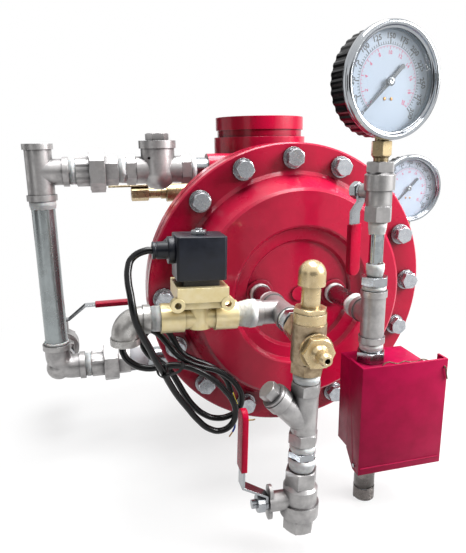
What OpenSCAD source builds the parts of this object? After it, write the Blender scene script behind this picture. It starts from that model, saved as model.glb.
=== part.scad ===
// Deluge valve: grooved ends, diaphragm cover and brass and stainless pilot trim.
// Millimetres. Origin at the middle of the inlet end face, +Z to the outlet, -Y out of the cover.

/* [Grooved ends] */
// Outside diameter of the grooved ends
end_od = 114.3; // [110:0.1:118]
// Bore of inlet and outlet
end_bore = 100; // [94:0.5:103]
// Inlet face to outlet face
body_height = 398; // [390:1:420]
// Land between an end face and its groove
groove_land = 15.9; // [14:0.1:18]
// Width of the groove
groove_width = 8.7; // [8:0.1:10]
// Depth of the groove
groove_depth = 2.1; // [1.5:0.1:2.5]
// Cast neck over the grooved end, on radius
neck_step = 2.4; // [1:0.1:4]

/* [Valve body] */
// Outer radius of the chamber behind the flange
chamber_r = 118; // [112:0.5:122]
// Cast wall of chamber and passages
body_wall = 9; // [7:0.5:10]
// Distance from the flow axis to the back of the chamber
back_reach = 76; // [72:1:82]
// Radius of the domed back
dome_r = 150; // [140:1:170]
// Radius of both round flanges
flange_r = 166.8; // [163:0.1:172]
// Thickness of the body flange
body_flange_t = 18; // [14:0.5:22]
// Chamfer between body flange and chamber
flange_root = 9; // [5:0.5:12]
// Seat tube above the body flange face, measured inward
seat_setback = 10; // [8:0.5:12]

/* [Cover] */
// Distance from the flow axis to the front face of the cover flange
cover_reach = 127; // [122:0.5:132]
// Thickness of the cover flange
cover_flange_t = 16; // [13:0.5:20]
// Radius where the conical wall meets the flange
cover_base_r = 132; // [128:0.5:136]
// Radius of the front ring at its outer edge
cover_ring_r = 118; // [114:0.5:122]
// Front ring in front of the flange face
cover_rise = 35; // [30:0.5:40]
// Inner edge radius of the front ring
recess_r = 79; // [74:0.5:84]
// Radius of the dished floor
floor_r = 60; // [57:0.5:64]
// Dished floor in front of the flange face
floor_rise = 22; // [18:0.5:26]
// Wall of the cover
cover_wall = 8; // [6:0.5:9]
// Thickness of the rubber diaphragm
diaphragm_t = 3; // [2:0.25:4]

/* [Cover bolts] */
// Number of cover bolts
bolt_count = 16; // [12:2:20]
// Bolt circle to the flange rim
bolt_edge = 16.8; // [15:0.1:17.5]
// Bolt diameter
bolt_d = 12; // [10:1:14]
// Width across flats of heads and nuts
bolt_af = 18; // [17:0.5:21]
// Height of a bolt head
bolt_head = 7.5; // [6:0.5:10]
// Flat washer outside diameter
washer_od = 24; // [22:0.5:26]
// Flat washer thickness
washer_t = 2.5; // [1.5:0.25:3]
// Spring washer outside diameter
spring_washer_od = 20.5; // [19:0.5:22]
// Nut height
nut_h = 10; // [8:0.5:12]

/* [Pipe sizes] */
// Outside diameter of half-inch pipe
half_od = 21.3; // [21:0.1:21.8]
// Bore of half-inch fittings
half_bore = 15.8; // [14:0.2:17]
// Hex across flats on half-inch fittings
half_af = 24; // [23:0.5:26]
// Body diameter of half-inch tees and elbows
half_body = 23.5; // [23:0.5:25.5]
// Bead diameter of half-inch tees and elbows
half_bead = 26; // [25.6:0.2:29]
// Centre to end of half-inch tees
half_run = 27; // [26:0.5:29]
// Thread engagement of half-inch joints
half_grip = 11; // [9:0.5:13]
// Outside diameter of three-quarter pipe
tq_od = 26.7; // [26.4:0.1:27]
// Bore of three-quarter fittings
tq_bore = 20.8; // [19:0.2:22]
// Hex across flats on three-quarter fittings
tq_af = 30; // [29:0.5:33]
// Body diameter of three-quarter tees and elbows
tq_body = 30; // [29:0.5:32]
// Bead diameter of three-quarter tees and elbows
tq_bead = 34; // [32.6:0.2:37]
// Centre to end of three-quarter tees and elbows
tq_run = 32; // [31:0.5:35]
// Thread engagement of three-quarter joints
tq_grip = 13; // [11:0.5:15]
// Outside diameter of quarter-inch pipe
quarter_od = 13.7; // [13.5:0.1:14]
// Bore of quarter-inch fittings
quarter_bore = 9; // [8:0.2:10]
// Thread engagement of quarter-inch joints
quarter_grip = 8; // [7:0.5:10]
// Length of the beads at the ends of fittings
bead_len = 6.5; // [5:0.5:8]
// Radial clearance drawn in each threaded joint
thread_gap = 0.05; // [0.02:0.01:0.08]
// Thickness of the wound thread tape
tape_t = 0.8; // [0.4:0.1:1.2]
// Width of one band of thread tape
tape_w = 6; // [4:0.5:8]

/* [Left port line] */
// Left port beside the cover axis
left_port_x = -46; // [-48:0.5:-40]
// Left port above the cover axis
left_port_rise = 4; // [0:0.5:6]
// Cover floor to the centre of the tee
left_tee_reach = 70; // [66:0.5:76]
// Cover floor to the axis of the pilot valve
pilot_reach = 143; // [139:0.5:148]
// Sideways lean of the pilot valve and the drain line below it, in degrees
pilot_lean = 2; // [0:0.5:4]

/* [Pilot valve] */
// Radius of the pilot valve body
pilot_body_r = 15; // [14:0.25:16.5]
// Top of the pilot body above its port
pilot_body_top = 13; // [11:0.5:15]
// Bottom of the pilot body below its port
pilot_body_drop = 21.5; // [20:0.5:24]
// Length of the bottom collar
pilot_collar_len = 11.5; // [11.5:0.5:14]
// Radius of the collar under the bonnet
bonnet_collar_r = 14.3; // [13:0.1:15]
// Height of that collar
bonnet_collar_h = 9; // [7:0.5:11]
// Bonnet hex across flats
bonnet_af = 26; // [24:0.5:28]
// Bonnet hex height
bonnet_hex_h = 4.5; // [3.5:0.5:6]
// Radius of the threaded neck
bonnet_neck_r = 8.2; // [7.8:0.1:8.8]
// Length of the threaded neck below the cap
bonnet_neck_h = 19; // [17:0.5:22]
// Radius of the domed cap
pilot_cap_r = 11.7; // [11.2:0.1:12.5]
// Height of the cap
pilot_cap_h = 21.5; // [21:0.5:24]
// Front hex across flats
vent_af = 25; // [23:0.5:27]
// Front hex below the port
vent_drop = 7; // [4:0.5:9]
// Front hex thickness
vent_hex_h = 9; // [7:0.5:11]
// Length of the vent nozzle
vent_len = 15; // [12:0.5:18]
// Radius of the vent nozzle
vent_r = 5.7; // [5:0.1:6.5]
// Radius of the vent hole
vent_hole_r = 2.4; // [2:0.1:3.5]
// Lift of the pilot poppet
poppet_lift = 3; // [2:0.25:4]

/* [Strainer] */
// Space between pilot valve and strainer
strainer_gap = 8.5; // [6:0.5:11]
// Strainer length
strainer_len = 59; // [56:0.5:63]
// Strainer body radius
strainer_r = 11.8; // [11.3:0.1:13]
// Length of the strainer end hexes
strainer_hex = 11; // [9.5:0.5:13]
// Height of the branch root above the strainer's lower end
branch_root = 19; // [17:0.5:22]
// Branch angle from the strainer axis
branch_angle = 45; // [40:1:50]
// Branch length to the plug seat
branch_len = 40; // [38:0.5:44]
// Branch radius
branch_r = 11; // [10.5:0.1:12]
// Plug hex across flats
plug_af = 16; // [14:0.5:18]
// Plug hex height
plug_h = 9; // [7:0.5:11]

/* [Drain valve] */
// Space between strainer and drain valve
drain_gap = 26; // [24:0.5:30]
// Length of the drain valve
drain_len = 61.5; // [60:0.5:66]
// Drain valve end hex across flats
drain_af = 26; // [25:0.5:28]
// Length of the upper hex
drain_hex_top = 15; // [13:0.5:17]
// Length of the lower hex
drain_hex_low = 12.5; // [11:0.5:14]
// Radius of the drain valve body
drain_mid_r = 15.8; // [15:0.2:17]
// Ball radius of the half-inch ball valves
ball_r = 12.5; // [12:0.1:13]
// Flow way through the half-inch balls
way_r = 7; // [6:0.25:7.5]
// Running clearance of balls, stems and pins
run_gap = 0.08; // [0.05:0.01:0.1]
// Stem radius of the half-inch ball valves
stem_r = 4; // [3.5:0.1:4.5]
// Stem tower radius
tower_r = 9; // [8:0.25:10]
// Valve axis to the end of the stem tower
tower_reach = 31; // [29:0.5:34]
// Lever sheet thickness
lever_t = 2.5; // [2:0.25:3]
// Lever width
lever_w = 13; // [12:0.5:15]
// Sideways step of the drain lever
lever_step = 23; // [19:0.5:26]
// Height at which the drain lever's step starts
step_start = 8; // [6:0.5:12]
// Height at which the drain lever's step ends
step_end = 21; // [18:0.5:26]
// Drain lever length from the stem
lever_len = 94; // [88:0.5:100]
// Length of the vinyl sleeve
sleeve_len = 56; // [50:0.5:62]
// Wall of the vinyl sleeve
sleeve_wall = 1.5; // [1.25:0.25:2]
// Stem nut across flats
stem_nut_af = 15; // [13:0.5:17]
// Stem nut height
stem_nut_h = 7; // [5:0.5:9]

/* [Solenoid valve] */
// Left port axis to the middle of the solenoid valve
solenoid_reach = 82; // [79:0.5:86]
// Port to port length
solenoid_len = 73; // [70:0.5:76]
// Port collar radius
solenoid_collar_r = 14; // [13:0.25:15]
// Port collar length
solenoid_collar_len = 22; // [20:0.5:24]
// Bowl radius under the middle
bowl_r = 12.5; // [12:0.1:14]
// Bowl drop under the port axis
bowl_drop = 10; // [8:0.5:12]
// Side of the square bonnet plate
bonnet_side = 47; // [44:0.5:50]
// Port axis to the underside of the bonnet plate
bonnet_low = 20; // [18.5:0.5:21.5]
// Bonnet plate thickness
bonnet_t = 13.5; // [11:0.5:15]
// Ledge under the bonnet plate
ledge_t = 7; // [5:0.5:8]
// Width of the neck under the coil
coil_neck_side = 33; // [30:0.5:36]
// Height of that neck
coil_neck_h = 5; // [4:0.5:8]
// Coil width
coil_w = 46; // [43:0.5:50]
// Coil depth front to back
coil_d = 36; // [32:0.5:40]
// Coil height
coil_h = 40; // [37:0.5:43]
// Armature tube radius
core_r = 7; // [6:0.25:8]
// Coil nut across flats
coil_nut_af = 13; // [11:0.5:14]
// Coil nut height
coil_nut_h = 4; // [3:0.5:6]
// Plunger radius
plunger_r = 5; // [4.5:0.1:5.5]
// Plunger stroke
plunger_stroke = 3; // [2:0.25:4]
// Radius of the cable plug's flange
plug_r = 12.5; // [11.5:0.25:13.5]
// Coil top to the cable axis
plug_drop = 14; // [13.5:0.5:17]
// Thickness of the plug's flange
plug_t = 6; // [5:0.5:8]
// Cable gland radius
gland_r = 8; // [7.5:0.25:9]
// Cable gland length
gland_len = 14; // [12:0.5:16]
// Mounting lug radius
lug_r = 6.5; // [6:0.25:7.5]
// Mounting lug hole radius
lug_hole_r = 3.1; // [2.5:0.1:3.5]
// Centre to end of the dark iron elbow
iron_run = 23; // [22:0.5:25]
// Space between solenoid valve and iron elbow
iron_gap = 9.5; // [8:0.5:11]

/* [Right port line] */
// Right port beside the cover axis
right_port_x = 43; // [38:0.5:45]
// Right port below the cover axis
right_port_drop = 2; // [0:0.5:5]
// Cover floor to the riser axis
right_reach = 92; // [88:0.5:96]
// Bushing hex height
bushing_h = 9; // [7:0.5:11]
// Gap between tee and bushing hex
bushing_gap = 5; // [3:0.5:7]
// Bare length of the quarter-inch nipple
gauge_nipple_len = 53; // [48:0.5:58]
// Gauge valve length
gauge_valve_len = 55.5; // [52:0.5:60]
// Gauge valve hex across flats
gauge_valve_af = 23.5; // [22:0.5:25]
// Gauge valve hex length
gauge_valve_hex = 12; // [10:0.5:14]
// Gauge valve body radius
gauge_valve_r = 12; // [11.5:0.1:13]
// Ball radius of the gauge valve
gauge_ball_r = 9; // [8.5:0.1:9.5]
// Flow way of the gauge valve
gauge_way_r = 4.5; // [4:0.1:5]
// Direction of the gauge valve's stem, in degrees from +X
gauge_stem_turn = 114; // [110:1:130]
// Gauge valve axis to the end of its stem tower
gauge_tower_reach = 19; // [18:0.5:22]
// Gauge valve lever length
gauge_lever_len = 84; // [78:0.5:90]
// Length of its sleeve
gauge_sleeve_len = 51; // [46:0.5:56]

/* [Pressure gauges] */
// Bezel wall around the case
bezel_wall = 2.5; // [2:0.5:4]
// Case diameter
case_od = 95; // [92:0.5:96]
// Case depth behind the bezel front
case_depth = 31; // [28:0.5:35]
// Bezel depth
bezel_depth = 9; // [7:0.5:11]
// Window radius
window_r = 42.5; // [40:0.25:43.5]
// Socket axis behind the bezel front
socket_setback = 16; // [14:0.5:18]
// Socket hex across flats
socket_af = 17; // [14:0.5:19]
// Socket hex height below the case
socket_hex_h = 13.5; // [10:0.5:15]
// Bare thread under the socket hex
socket_neck = 5; // [4:0.5:7]
// Number of grip ribs round each case
rib_count = 36; // [28:4:52]
// Turn of the front gauge on its socket, in degrees to the right
gauge_turn = 8; // [0:1:15]
// Rear gauge socket axis to the right of the flow axis
rear_gauge_x = 244; // [235:1:252]
// Rear gauge socket axis behind the flow axis
rear_gauge_y = 30; // [26:0.5:34]
// Rear gauge centre above the inlet face
rear_gauge_z = 297; // [290:1:305]
// Height of the rear gauge's supply pipe
supply_z = 86; // [80:0.5:92]
// Centre to end of the quarter-inch elbow
quarter_run = 20; // [18:0.5:22]

/* [Manual release box] */
// Box left wall to the right of the flow axis
box_left = 23.5; // [20:0.5:24]
// Box width
box_w = 70; // [66:0.5:76]
// Right port axis to the box top
box_drop = 47; // [45:0.5:49]
// Box height
box_h = 97.5; // [94:0.5:102]
// Riser axis to the back of the box
box_back = 26; // [24:0.5:30]
// Box depth
box_d = 49.5; // [49:0.5:52]
// Sheet thickness of box and lid
sheet_t = 2.5; // [2:0.1:3]
// Gap between lid and box
lid_gap = 0.5; // [0.4:0.1:1]
// Lid width
lid_w = 93.4; // [90:0.5:98]
// Lid foot below the underside of the box
lid_foot = 14; // [13:0.5:15]
// Lid top above the box top
lid_lip = 4; // [2:0.5:6]
// Depth of the lid's left wall
lid_side = 25; // [20:0.5:28]
// Hinge height above the lid foot
hinge_rise = 6; // [5.5:0.1:6.5]
// Hinge behind the inner face of the lid
hinge_back = 7; // [6.5:0.1:7.5]
// Hinge pin radius
hinge_r = 2; // [1.5:0.1:2.5]
// Release valve length
release_len = 56; // [52:0.5:60]
// Release valve body radius
release_r = 13; // [12.8:0.1:14]
// Release lever length
release_lever_len = 45; // [40:0.5:46]
// End of the outlet nipple below the inlet face
outlet_drop = 7; // [4:0.5:10]
// Length of the outlet nipple's bare thread
outlet_thread = 15; // [12:0.5:20]
// Locknut height
locknut_h = 11; // [9:0.5:13]

/* [Left loop] */
// Loop pipe to the left of the flow axis
loop_x = -275; // [-282:0.5:-268]
// Loop in front of the flow axis
loop_front = 40; // [38:0.5:44]
// Height of the upper loop line
loop_top = 336; // [332:0.5:340]
// Height of the lower loop line
loop_low = 96; // [92:0.5:100]
// Bare nipple between tee and upper union
loop_nipple = 8; // [6:0.5:12]
// Union end hex length
union_hex = 15; // [13:0.5:17]
// Union nut across flats
union_af = 43; // [41:0.5:46]
// Union nut length
union_nut = 18; // [15:0.5:20]
// Nipple between upper union and check valve
check_nipple = 9; // [6:0.5:12]
// Check valve length
check_len = 77; // [72:0.5:80]
// Check valve hex length
check_hex = 12; // [10:0.5:14]
// Check valve barrel radius
check_r = 16; // [15.4:0.2:17]
// Check valve bonnet radius
check_bonnet_r = 20; // [19:0.25:21]
// Bonnet height above the check valve axis
check_bonnet_h = 25; // [23:0.5:28]
// Check valve cap radius
check_cap_r = 22; // [21:0.25:23]
// Check valve cap height
check_cap_h = 9; // [8:0.5:11]
// Check valve cap hex across flats
check_cap_af = 24; // [22:0.5:27]
// Check valve cap hex height
check_cap_hex = 8.5; // [7:0.5:10]
// Left end of the upper body boss
boss_end = -80; // [-84:0.5:-76]
// Body boss radius
boss_r = 18; // [17:0.25:20]

/* [Rear valve] */
// Nipple between the loop elbow's back outlet and the rear valve
rear_nipple = 18; // [14:0.5:24]
// Rear valve length
rear_len = 56; // [52:0.5:60]
// Rear valve body radius
rear_r = 21.5; // [20:0.25:23]
// Rear valve ball radius
rear_ball_r = 15; // [14.5:0.1:16]
// Rear valve axis to the end of its stem tower
rear_tower = 35; // [33:0.5:38]
// Rear lever length
rear_lever_len = 97; // [90:0.5:104]
// Rear lever sleeve length
rear_sleeve_len = 49; // [44:0.5:54]

/* [Drip valve] */
// Outlet face to the drip valve
drip_drop = 93; // [90:0.5:96]
// Left end of the drip valve
drip_end = -171; // [-174:0.5:-168]
// Radius of the drip valve's round end
drip_r = 8.2; // [8:0.2:9]
// Radius of the drip valve's body
drip_body_r = 11.5; // [11:0.25:12.5]

/* [Cord] */
// Diameter of the solenoid's cord
cord_d = 6.6; // [6:0.1:6.8]

/* [Hidden] */
$fn = 48;
tiny = 0.01;
axis_z = body_height / 2;
drip_z = body_height - drip_drop;
bolt_circle_r = flange_r - bolt_edge;
end_r = end_od / 2;
bore_r = end_bore / 2;
neck_r = end_r + neck_step;
cover_back = -(cover_reach - cover_flange_t);
split_y = cover_back + diaphragm_t;
flange_back = split_y + body_flange_t;
floor_y = -(cover_reach + floor_rise);
half_r = half_od / 2;
half_way = half_bore / 2;
tq_r = tq_od / 2;
quarter_r = quarter_od / 2;
// pipe radius, bore radius, body radius, bead radius, centre to end, thread engagement
half_fit = [half_r, half_way, half_body / 2, half_bead / 2, half_run, half_grip];
tq_fit = [tq_r, tq_bore / 2, tq_body / 2, tq_bead / 2, tq_run, tq_grip];
iron_fit = [half_r, half_way, half_body / 2 + 0.6, half_bead / 2 + 0.6, iron_run, half_grip];
quarter_fit = [quarter_r, quarter_bore / 2, 8.6, 10, quarter_run, quarter_grip];

left_port_z = axis_z + left_port_rise;
tee_y = floor_y - left_tee_reach;
pilot_y = floor_y - pilot_reach;
right_port_z = axis_z - right_port_drop;
right_y = floor_y - right_reach;

pilot_boss = pilot_body_r + 11;
feed_gap = pilot_reach - left_tee_reach - half_run - pilot_boss;
feed_tape = (feed_gap - 10) / 2;
pilot_low = -pilot_body_drop - pilot_collar_len;
strainer_top = pilot_low - strainer_gap;
strainer_low = strainer_top - strainer_len;
drain_top = strainer_low - drain_gap;
drain_low = drain_top - drain_len;
drain_mid = drain_low + drain_hex_low + (drain_len - drain_hex_low - drain_hex_top) / 2 + 1;

solenoid_x = left_port_x - solenoid_reach;
solenoid_left = solenoid_x - solenoid_len / 2;
solenoid_right = solenoid_x + solenoid_len / 2;
solenoid_gap = solenoid_reach - solenoid_len / 2 - half_run;
bonnet_top = bonnet_low + bonnet_t;
coil_low = bonnet_top + coil_neck_h;
coil_top = coil_low + coil_h;
plug_z = coil_top - plug_drop;
gland_x = solenoid_x - coil_w / 2 - plug_t;
iron_x = solenoid_left - iron_gap - iron_run;

tee_top = right_port_z + half_run;
tee_low = right_port_z - half_run;
bushing_low = tee_top + bushing_gap;
bushing_top = bushing_low + bushing_h;
gauge_valve_low = bushing_top + gauge_nipple_len;
gauge_valve_top = gauge_valve_low + gauge_valve_len;
gauge_valve_mid = gauge_valve_low + gauge_valve_len / 2;
socket_low = gauge_valve_top;
bezel_od = case_od + 2 * bezel_wall;
socket_top = bezel_od / 2 + 0.3;
gauge_z = socket_low + socket_neck + socket_hex_h + socket_top;

box_top = right_port_z - box_drop;
box_low = box_top - box_h;
box_rear = right_y + box_back;
box_front = box_rear - box_d;
lid_inner = box_front - 1;
lid_left = box_left - lid_gap - sheet_t;
lid_low = box_low - lid_foot;
lid_top = box_top + lid_lip;
hinge_y = lid_inner + hinge_back;
hinge_z = lid_low + hinge_rise;
release_mid = box_low + box_h / 2 + 2.5;

union_x = loop_x + tq_run + loop_nipple;
check_x = union_x + 2 * union_hex + union_nut + check_nipple;
check_mid = check_x + check_len / 2;
low_boss = boss_end - 6;
low_union_x = loop_x + tq_run + loop_nipple;

rear_front = -loop_front + tq_run + rear_nipple;

// Point in the plane of the left tee, x and z taken before the lean
function leaned(x, z) = [left_port_x + (x - left_port_x) * cos(pilot_lean) + z * sin(pilot_lean), tee_y,
    left_port_z - (x - left_port_x) * sin(pilot_lean) + z * cos(pilot_lean)];
// Route of the free cord, from the gland to its bare end
cord_route = [
    leaned(gland_x - gland_len, plug_z), leaned(gland_x - gland_len - 5, plug_z), [-187, -221, 266],
    [-191, -226, 258], [-192, -232, 248], [-191, -238, 237], [-190, -242, 226], [-188, -243, 214],
    [-184, -241, 202], [-179, -237, 190], [-174, -231, 177], [-169, -225, 164], [-163, -218, 151],
    [-157, -211, 136], [-149, -205, 119], [-139, -200, 102], [-128, -197, 85], [-116, -195, 72],
    [-103, -194, 67], [-92, -194, 72], [-87, -195, 85], [-90, -197, 101], [-99, -199, 116],
    [-111, -201, 130], [-124, -203, 141], [-137, -205, 149], [-151, -206, 153], [-165, -206, 153],
    [-179, -205, 153], [-191, -203, 158], [-199, -199, 167], [-199, -195, 178], [-191, -191, 186],
    [-178, -190, 189], [-166, -192, 184], [-156, -196, 173], [-147, -199, 161], [-135, -198, 151],
    [-120, -195, 143], [-106, -191, 136], [-93, -188, 126], [-82, -186, 112], [-77, -184, 97],
    [-81, -183, 83], [-92, -182, 76], [-106, -182, 76], [-119, -183, 83], [-130, -185, 95],
    [-139, -187, 110], [-146, -189, 125], [-153, -190, 139], [-163, -188, 150], [-175, -185, 160],
    [-179, -181, 172], [-171, -178, 183], [-157, -177, 182], [-148, -178, 170], [-141, -179, 156],
    [-129, -178, 146], [-115, -176, 138], [-101, -175, 128], [-91, -174, 115], [-86, -173, 100]
];

module up(z) translate([0, 0, z]) children();
module turn(a) rotate([0, 0, a]) children();
// Turns +Z to +X
module to_x() rotate([0, 90, 0]) children();
// Turns +Z to the front
module to_front() rotate([90, 0, 0]) children();
// Cover axis frame, its +Z pointing out of the cover from the plane y
module on_axis(y) translate([0, y, axis_z]) to_front() children();
// Frames of the left tee and the pilot valve, turned by the lean of everything on the left port
module tee_frame() translate([left_port_x, tee_y, left_port_z]) rotate([0, pilot_lean, 0]) children();
module pilot_frame() tee_frame() translate([0, pilot_y - tee_y, 0]) children();
// Frame of the solenoid line, x as on the whole valve and z from the line's axis
module solenoid_frame() tee_frame() translate([-left_port_x, 0, 0]) children();
// Frames of a gauge: on its socket, and on its face with +Z outwards
front_gauge = [right_port_x, right_y, gauge_z, gauge_turn];
rear_gauge = [rear_gauge_x, rear_gauge_y, rear_gauge_z, 0];
module socket_frame(p) translate([p[0], p[1], p[2]]) turn(p[3]) children();
module gauge_frame(p) socket_frame(p) translate([0, -socket_setback, 0]) to_front() children();

module on_bolts() for (k = [0 : bolt_count - 1]) turn(90 + k * 360 / bolt_count)
    translate([bolt_circle_r, 0, 0]) children();
module bolt_holes(t) on_bolts() up(-1) cylinder(d = bolt_d + 1, h = t + 2);

module tube(ro, ri, h) difference() {
    cylinder(r = ro, h = h);
    up(-1) cylinder(r = ri, h = h + 2);
}
module hex(af, h) cylinder(r = af / 2 / cos(30), h = h, $fn = 6);
// Hex with the corners turned off at both ends
module nut_hex(af, h) intersection() {
    hex(af, h);
    union() {
        cylinder(r1 = af / 2 - 0.1, r2 = af / 2 + 1.2, h = 0.8);
        up(0.8) cylinder(r = af / 2 / cos(30) + 1, h = h - 1.6);
        up(h - 0.8) cylinder(r1 = af / 2 + 1.2, r2 = af / 2 - 0.1, h = 0.8);
    }
}
// Threaded socket drilled from z = 0 towards +Z
module socket(fit) up(-1) cylinder(r = fit[0] + thread_gap, h = fit[5] + 1);
module bead(fit) cylinder(r = fit[3], h = bead_len);
module nipple(fit, h) tube(fit[0], fit[1], h);
// Nipple with a hex collar; the hex starts at hex_z
module collar_nipple(fit, h, af, hex_z, hex_h) difference() {
    union() {
        cylinder(r = fit[0], h = h);
        up(hex_z) nut_hex(af, hex_h);
    }
    up(-1) cylinder(r = fit[1], h = h + 2);
}
// Tee with its run along Z and its branch to +X
module tee(fit) difference() {
    union() {
        up(-fit[4]) cylinder(r = fit[2], h = 2 * fit[4]);
        to_x() cylinder(r = fit[2], h = fit[4]);
        for (z = [-fit[4], fit[4] - bead_len]) up(z) bead(fit);
        to_x() up(fit[4] - bead_len) bead(fit);
    }
    up(-fit[4] - 1) cylinder(r = fit[1], h = 2 * fit[4] + 2);
    to_x() cylinder(r = fit[1], h = fit[4] + 1);
    up(-fit[4]) socket(fit);
    up(fit[4]) mirror([0, 0, 1]) socket(fit);
    translate([fit[4], 0, 0]) rotate([0, -90, 0]) socket(fit);
}
// Elbow with legs to -Z and +X, and a side outlet to +Y if asked for
module elbow(fit, side = false) {
    bend = fit[3];
    difference() {
        union() {
            translate([bend, 0, -bend]) rotate([90, 0, 0]) turn(90)
                rotate_extrude(angle = 90) translate([bend, 0]) circle(r = fit[2]);
            up(-fit[4]) cylinder(r = fit[2], h = fit[4] - bend);
            translate([bend, 0, 0]) to_x() cylinder(r = fit[2], h = fit[4] - bend);
            up(-fit[4]) bead(fit);
            translate([fit[4] - bead_len, 0, 0]) to_x() bead(fit);
            if (side) {
                sphere(r = fit[2]);
                rotate([-90, 0, 0]) cylinder(r = fit[2], h = fit[4]);
                rotate([-90, 0, 0]) up(fit[4] - bead_len) bead(fit);
            }
        }
        if (side) {
            up(-fit[4] - 1) cylinder(r = fit[1], h = fit[4] + 1);
            to_x() cylinder(r = fit[1], h = fit[4] + 1);
            rotate([-90, 0, 0]) cylinder(r = fit[1], h = fit[4] + 1);
            sphere(r = fit[1]);
            translate([0, fit[4], 0]) rotate([90, 0, 0]) socket(fit);
        } else {
            translate([bend, 0, -bend]) rotate([90, 0, 0]) turn(90)
                rotate_extrude(angle = 90) translate([bend, 0]) circle(r = fit[1]);
            up(-fit[4] - 1) cylinder(r = fit[1], h = fit[4] - bend + 1);
            translate([bend, 0, 0]) to_x() cylinder(r = fit[1], h = fit[4] - bend + 1);
        }
        up(-fit[4]) socket(fit);
        translate([fit[4], 0, 0]) rotate([0, -90, 0]) socket(fit);
    }
}
// Ball valve body, flow along Z from 0 to len, stem tower to +X at height mid
module ball_valve(fit, len, mid, af, hex_low, hex_top, mid_r, ring, ball, way, tower, reach, stem) difference() {
    union() {
        nut_hex(af, hex_low + 1);
        up(len - hex_top - 1) nut_hex(af, hex_top + 1);
        up(hex_low) cylinder(r1 = af / 2, r2 = mid_r, h = 3);
        up(hex_low + 3) cylinder(r = mid_r, h = len - hex_low - hex_top - 6);
        up(len - hex_top - 3) cylinder(r1 = mid_r, r2 = af / 2, h = 3);
        up(hex_low + 1) cylinder(r1 = af / 2, r2 = mid_r + ring[0], h = 2);
        up(hex_low + 3 - tiny) cylinder(r = mid_r + ring[0], h = ring[1]);
        up(mid) to_x() cylinder(r = tower, h = reach);
    }
    up(-1) cylinder(r = way, h = len + 2);
    socket(fit);
    up(len) mirror([0, 0, 1]) socket(fit);
    up(mid) sphere(r = ball + run_gap);
    up(mid) to_x() cylinder(r = stem + run_gap, h = reach + 1);
}
// Ball, stem and stem nut in the valve frame, the ball's way turned by turn about the stem
module ball_stem(mid, ball, way, stem, end, nut_at, turn) up(mid) {
    difference() {
        union() {
            sphere(r = ball);
            to_x() cylinder(r = stem, h = end);
        }
        rotate([turn, 0, 0]) cylinder(r = way, h = 2 * ball + 2, center = true);
    }
    translate([nut_at, 0, 0]) to_x() difference() {
        nut_hex(stem_nut_af, stem_nut_h);
        up(-1) cylinder(r = stem + 0.03, h = stem_nut_h + 2);
    }
}
// Flat lever on a stem along +X: a hub, a slanted step and a straight handle to +Z
module flat_lever(at, step, start, stop, len, w, stem) difference() {
    intersection() {
        translate([0, w, 0]) rotate([90, 0, 0]) linear_extrude(2 * w) polygon([
            [at, -w / 2], [at + lever_t, -w / 2], [at + lever_t, start], [at + step + lever_t, stop],
            [at + step + lever_t, len], [at + step, len], [at + step, stop + 1], [at, start + 1]
        ]);
        rotate([90, 0, 90]) linear_extrude(at + step + 2 * lever_t) union() {
            circle(d = w);
            translate([-w * 0.38, 0]) square([w * 0.76, stop]);
            polygon([[-w * 0.38, start], [w * 0.38, start], [w / 2, stop], [-w / 2, stop]]);
            translate([-w / 2, stop]) square([w, len - stop - w / 2]);
            translate([0, len - w / 2]) circle(d = w);
        }
    }
    to_x() cylinder(r = stem + 0.03, h = at + step + 2 * lever_t);
}
// Vinyl sleeve over the straight handle of a flat lever
module sleeve(at, len, span, w) {
    t = lever_t + 2 * sleeve_wall;
    difference() {
        translate([at - sleeve_wall, 0, 0]) rotate([90, 0, 90]) linear_extrude(t) union() {
            translate([0, len - w / 2]) circle(r = w / 2 + sleeve_wall);
            translate([-w / 2 - sleeve_wall, len - span]) square([w + 2 * sleeve_wall, span - w / 2]);
        }
        translate([at - thread_gap, -w / 2 - thread_gap, len - span - 1])
            cube([lever_t + 2 * thread_gap, w + 2 * thread_gap, span + 1 - w / 2]);
        translate([at - thread_gap, 0, len - w / 2]) to_x()
            cylinder(r = w / 2 + thread_gap, h = lever_t + 2 * thread_gap);
    }
}
module tape(r, h) tube(r + tape_t + 0.02, r + 0.02, h);

// Cover outline on the outside, then the diaphragm space inside
module cover() color("crimson") {
    front = cover_flange_t;
    on_axis(cover_back) difference() {
        rotate_extrude($fn = 96) polygon([
            [0, front + floor_rise - cover_wall], [floor_r - 6, front + floor_rise - cover_wall],
            [recess_r - 6, front + cover_rise - cover_wall - 2],
            [cover_ring_r - cover_wall - 1, front + cover_rise - cover_wall - 2],
            [cover_ring_r + 1, 4], [cover_ring_r + 1, 0], [flange_r, 0], [flange_r, front - 1.5],
            [flange_r - 1.5, front], [cover_base_r + 4, front], [cover_base_r, front + 3],
            [cover_ring_r + 1.5, front + cover_rise - 2.5], [cover_ring_r - 1.5, front + cover_rise],
            [recess_r + 1, front + cover_rise], [recess_r - 1, front + cover_rise - 1],
            [recess_r - 4, front + floor_rise + 7], [floor_r + 3, front + floor_rise + 4],
            [floor_r, front + floor_rise], [0, front + floor_rise]
        ]);
        bolt_holes(front);
        for (p = [[left_port_x, left_port_rise], [right_port_x, -right_port_drop]])
            translate([p[0], p[1], 0]) cylinder(r = half_r + thread_gap, h = 100);
    }
    on_axis(floor_y) {
        cylinder(r = 8, h = 2);
        for (p = [[left_port_x, left_port_rise], [right_port_x, -right_port_drop]])
            translate([p[0], p[1], 0]) tube(half_r + 5, half_r + thread_gap, 2);
    }
}

module grooved_end() rotate_extrude($fn = 96) polygon([
    [0, 0], [end_r, 0], [end_r, groove_land], [end_r - groove_depth, groove_land],
    [end_r - groove_depth, groove_land + groove_width], [neck_r, groove_land + groove_width],
    [neck_r, axis_z], [0, axis_z]
]);
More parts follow.
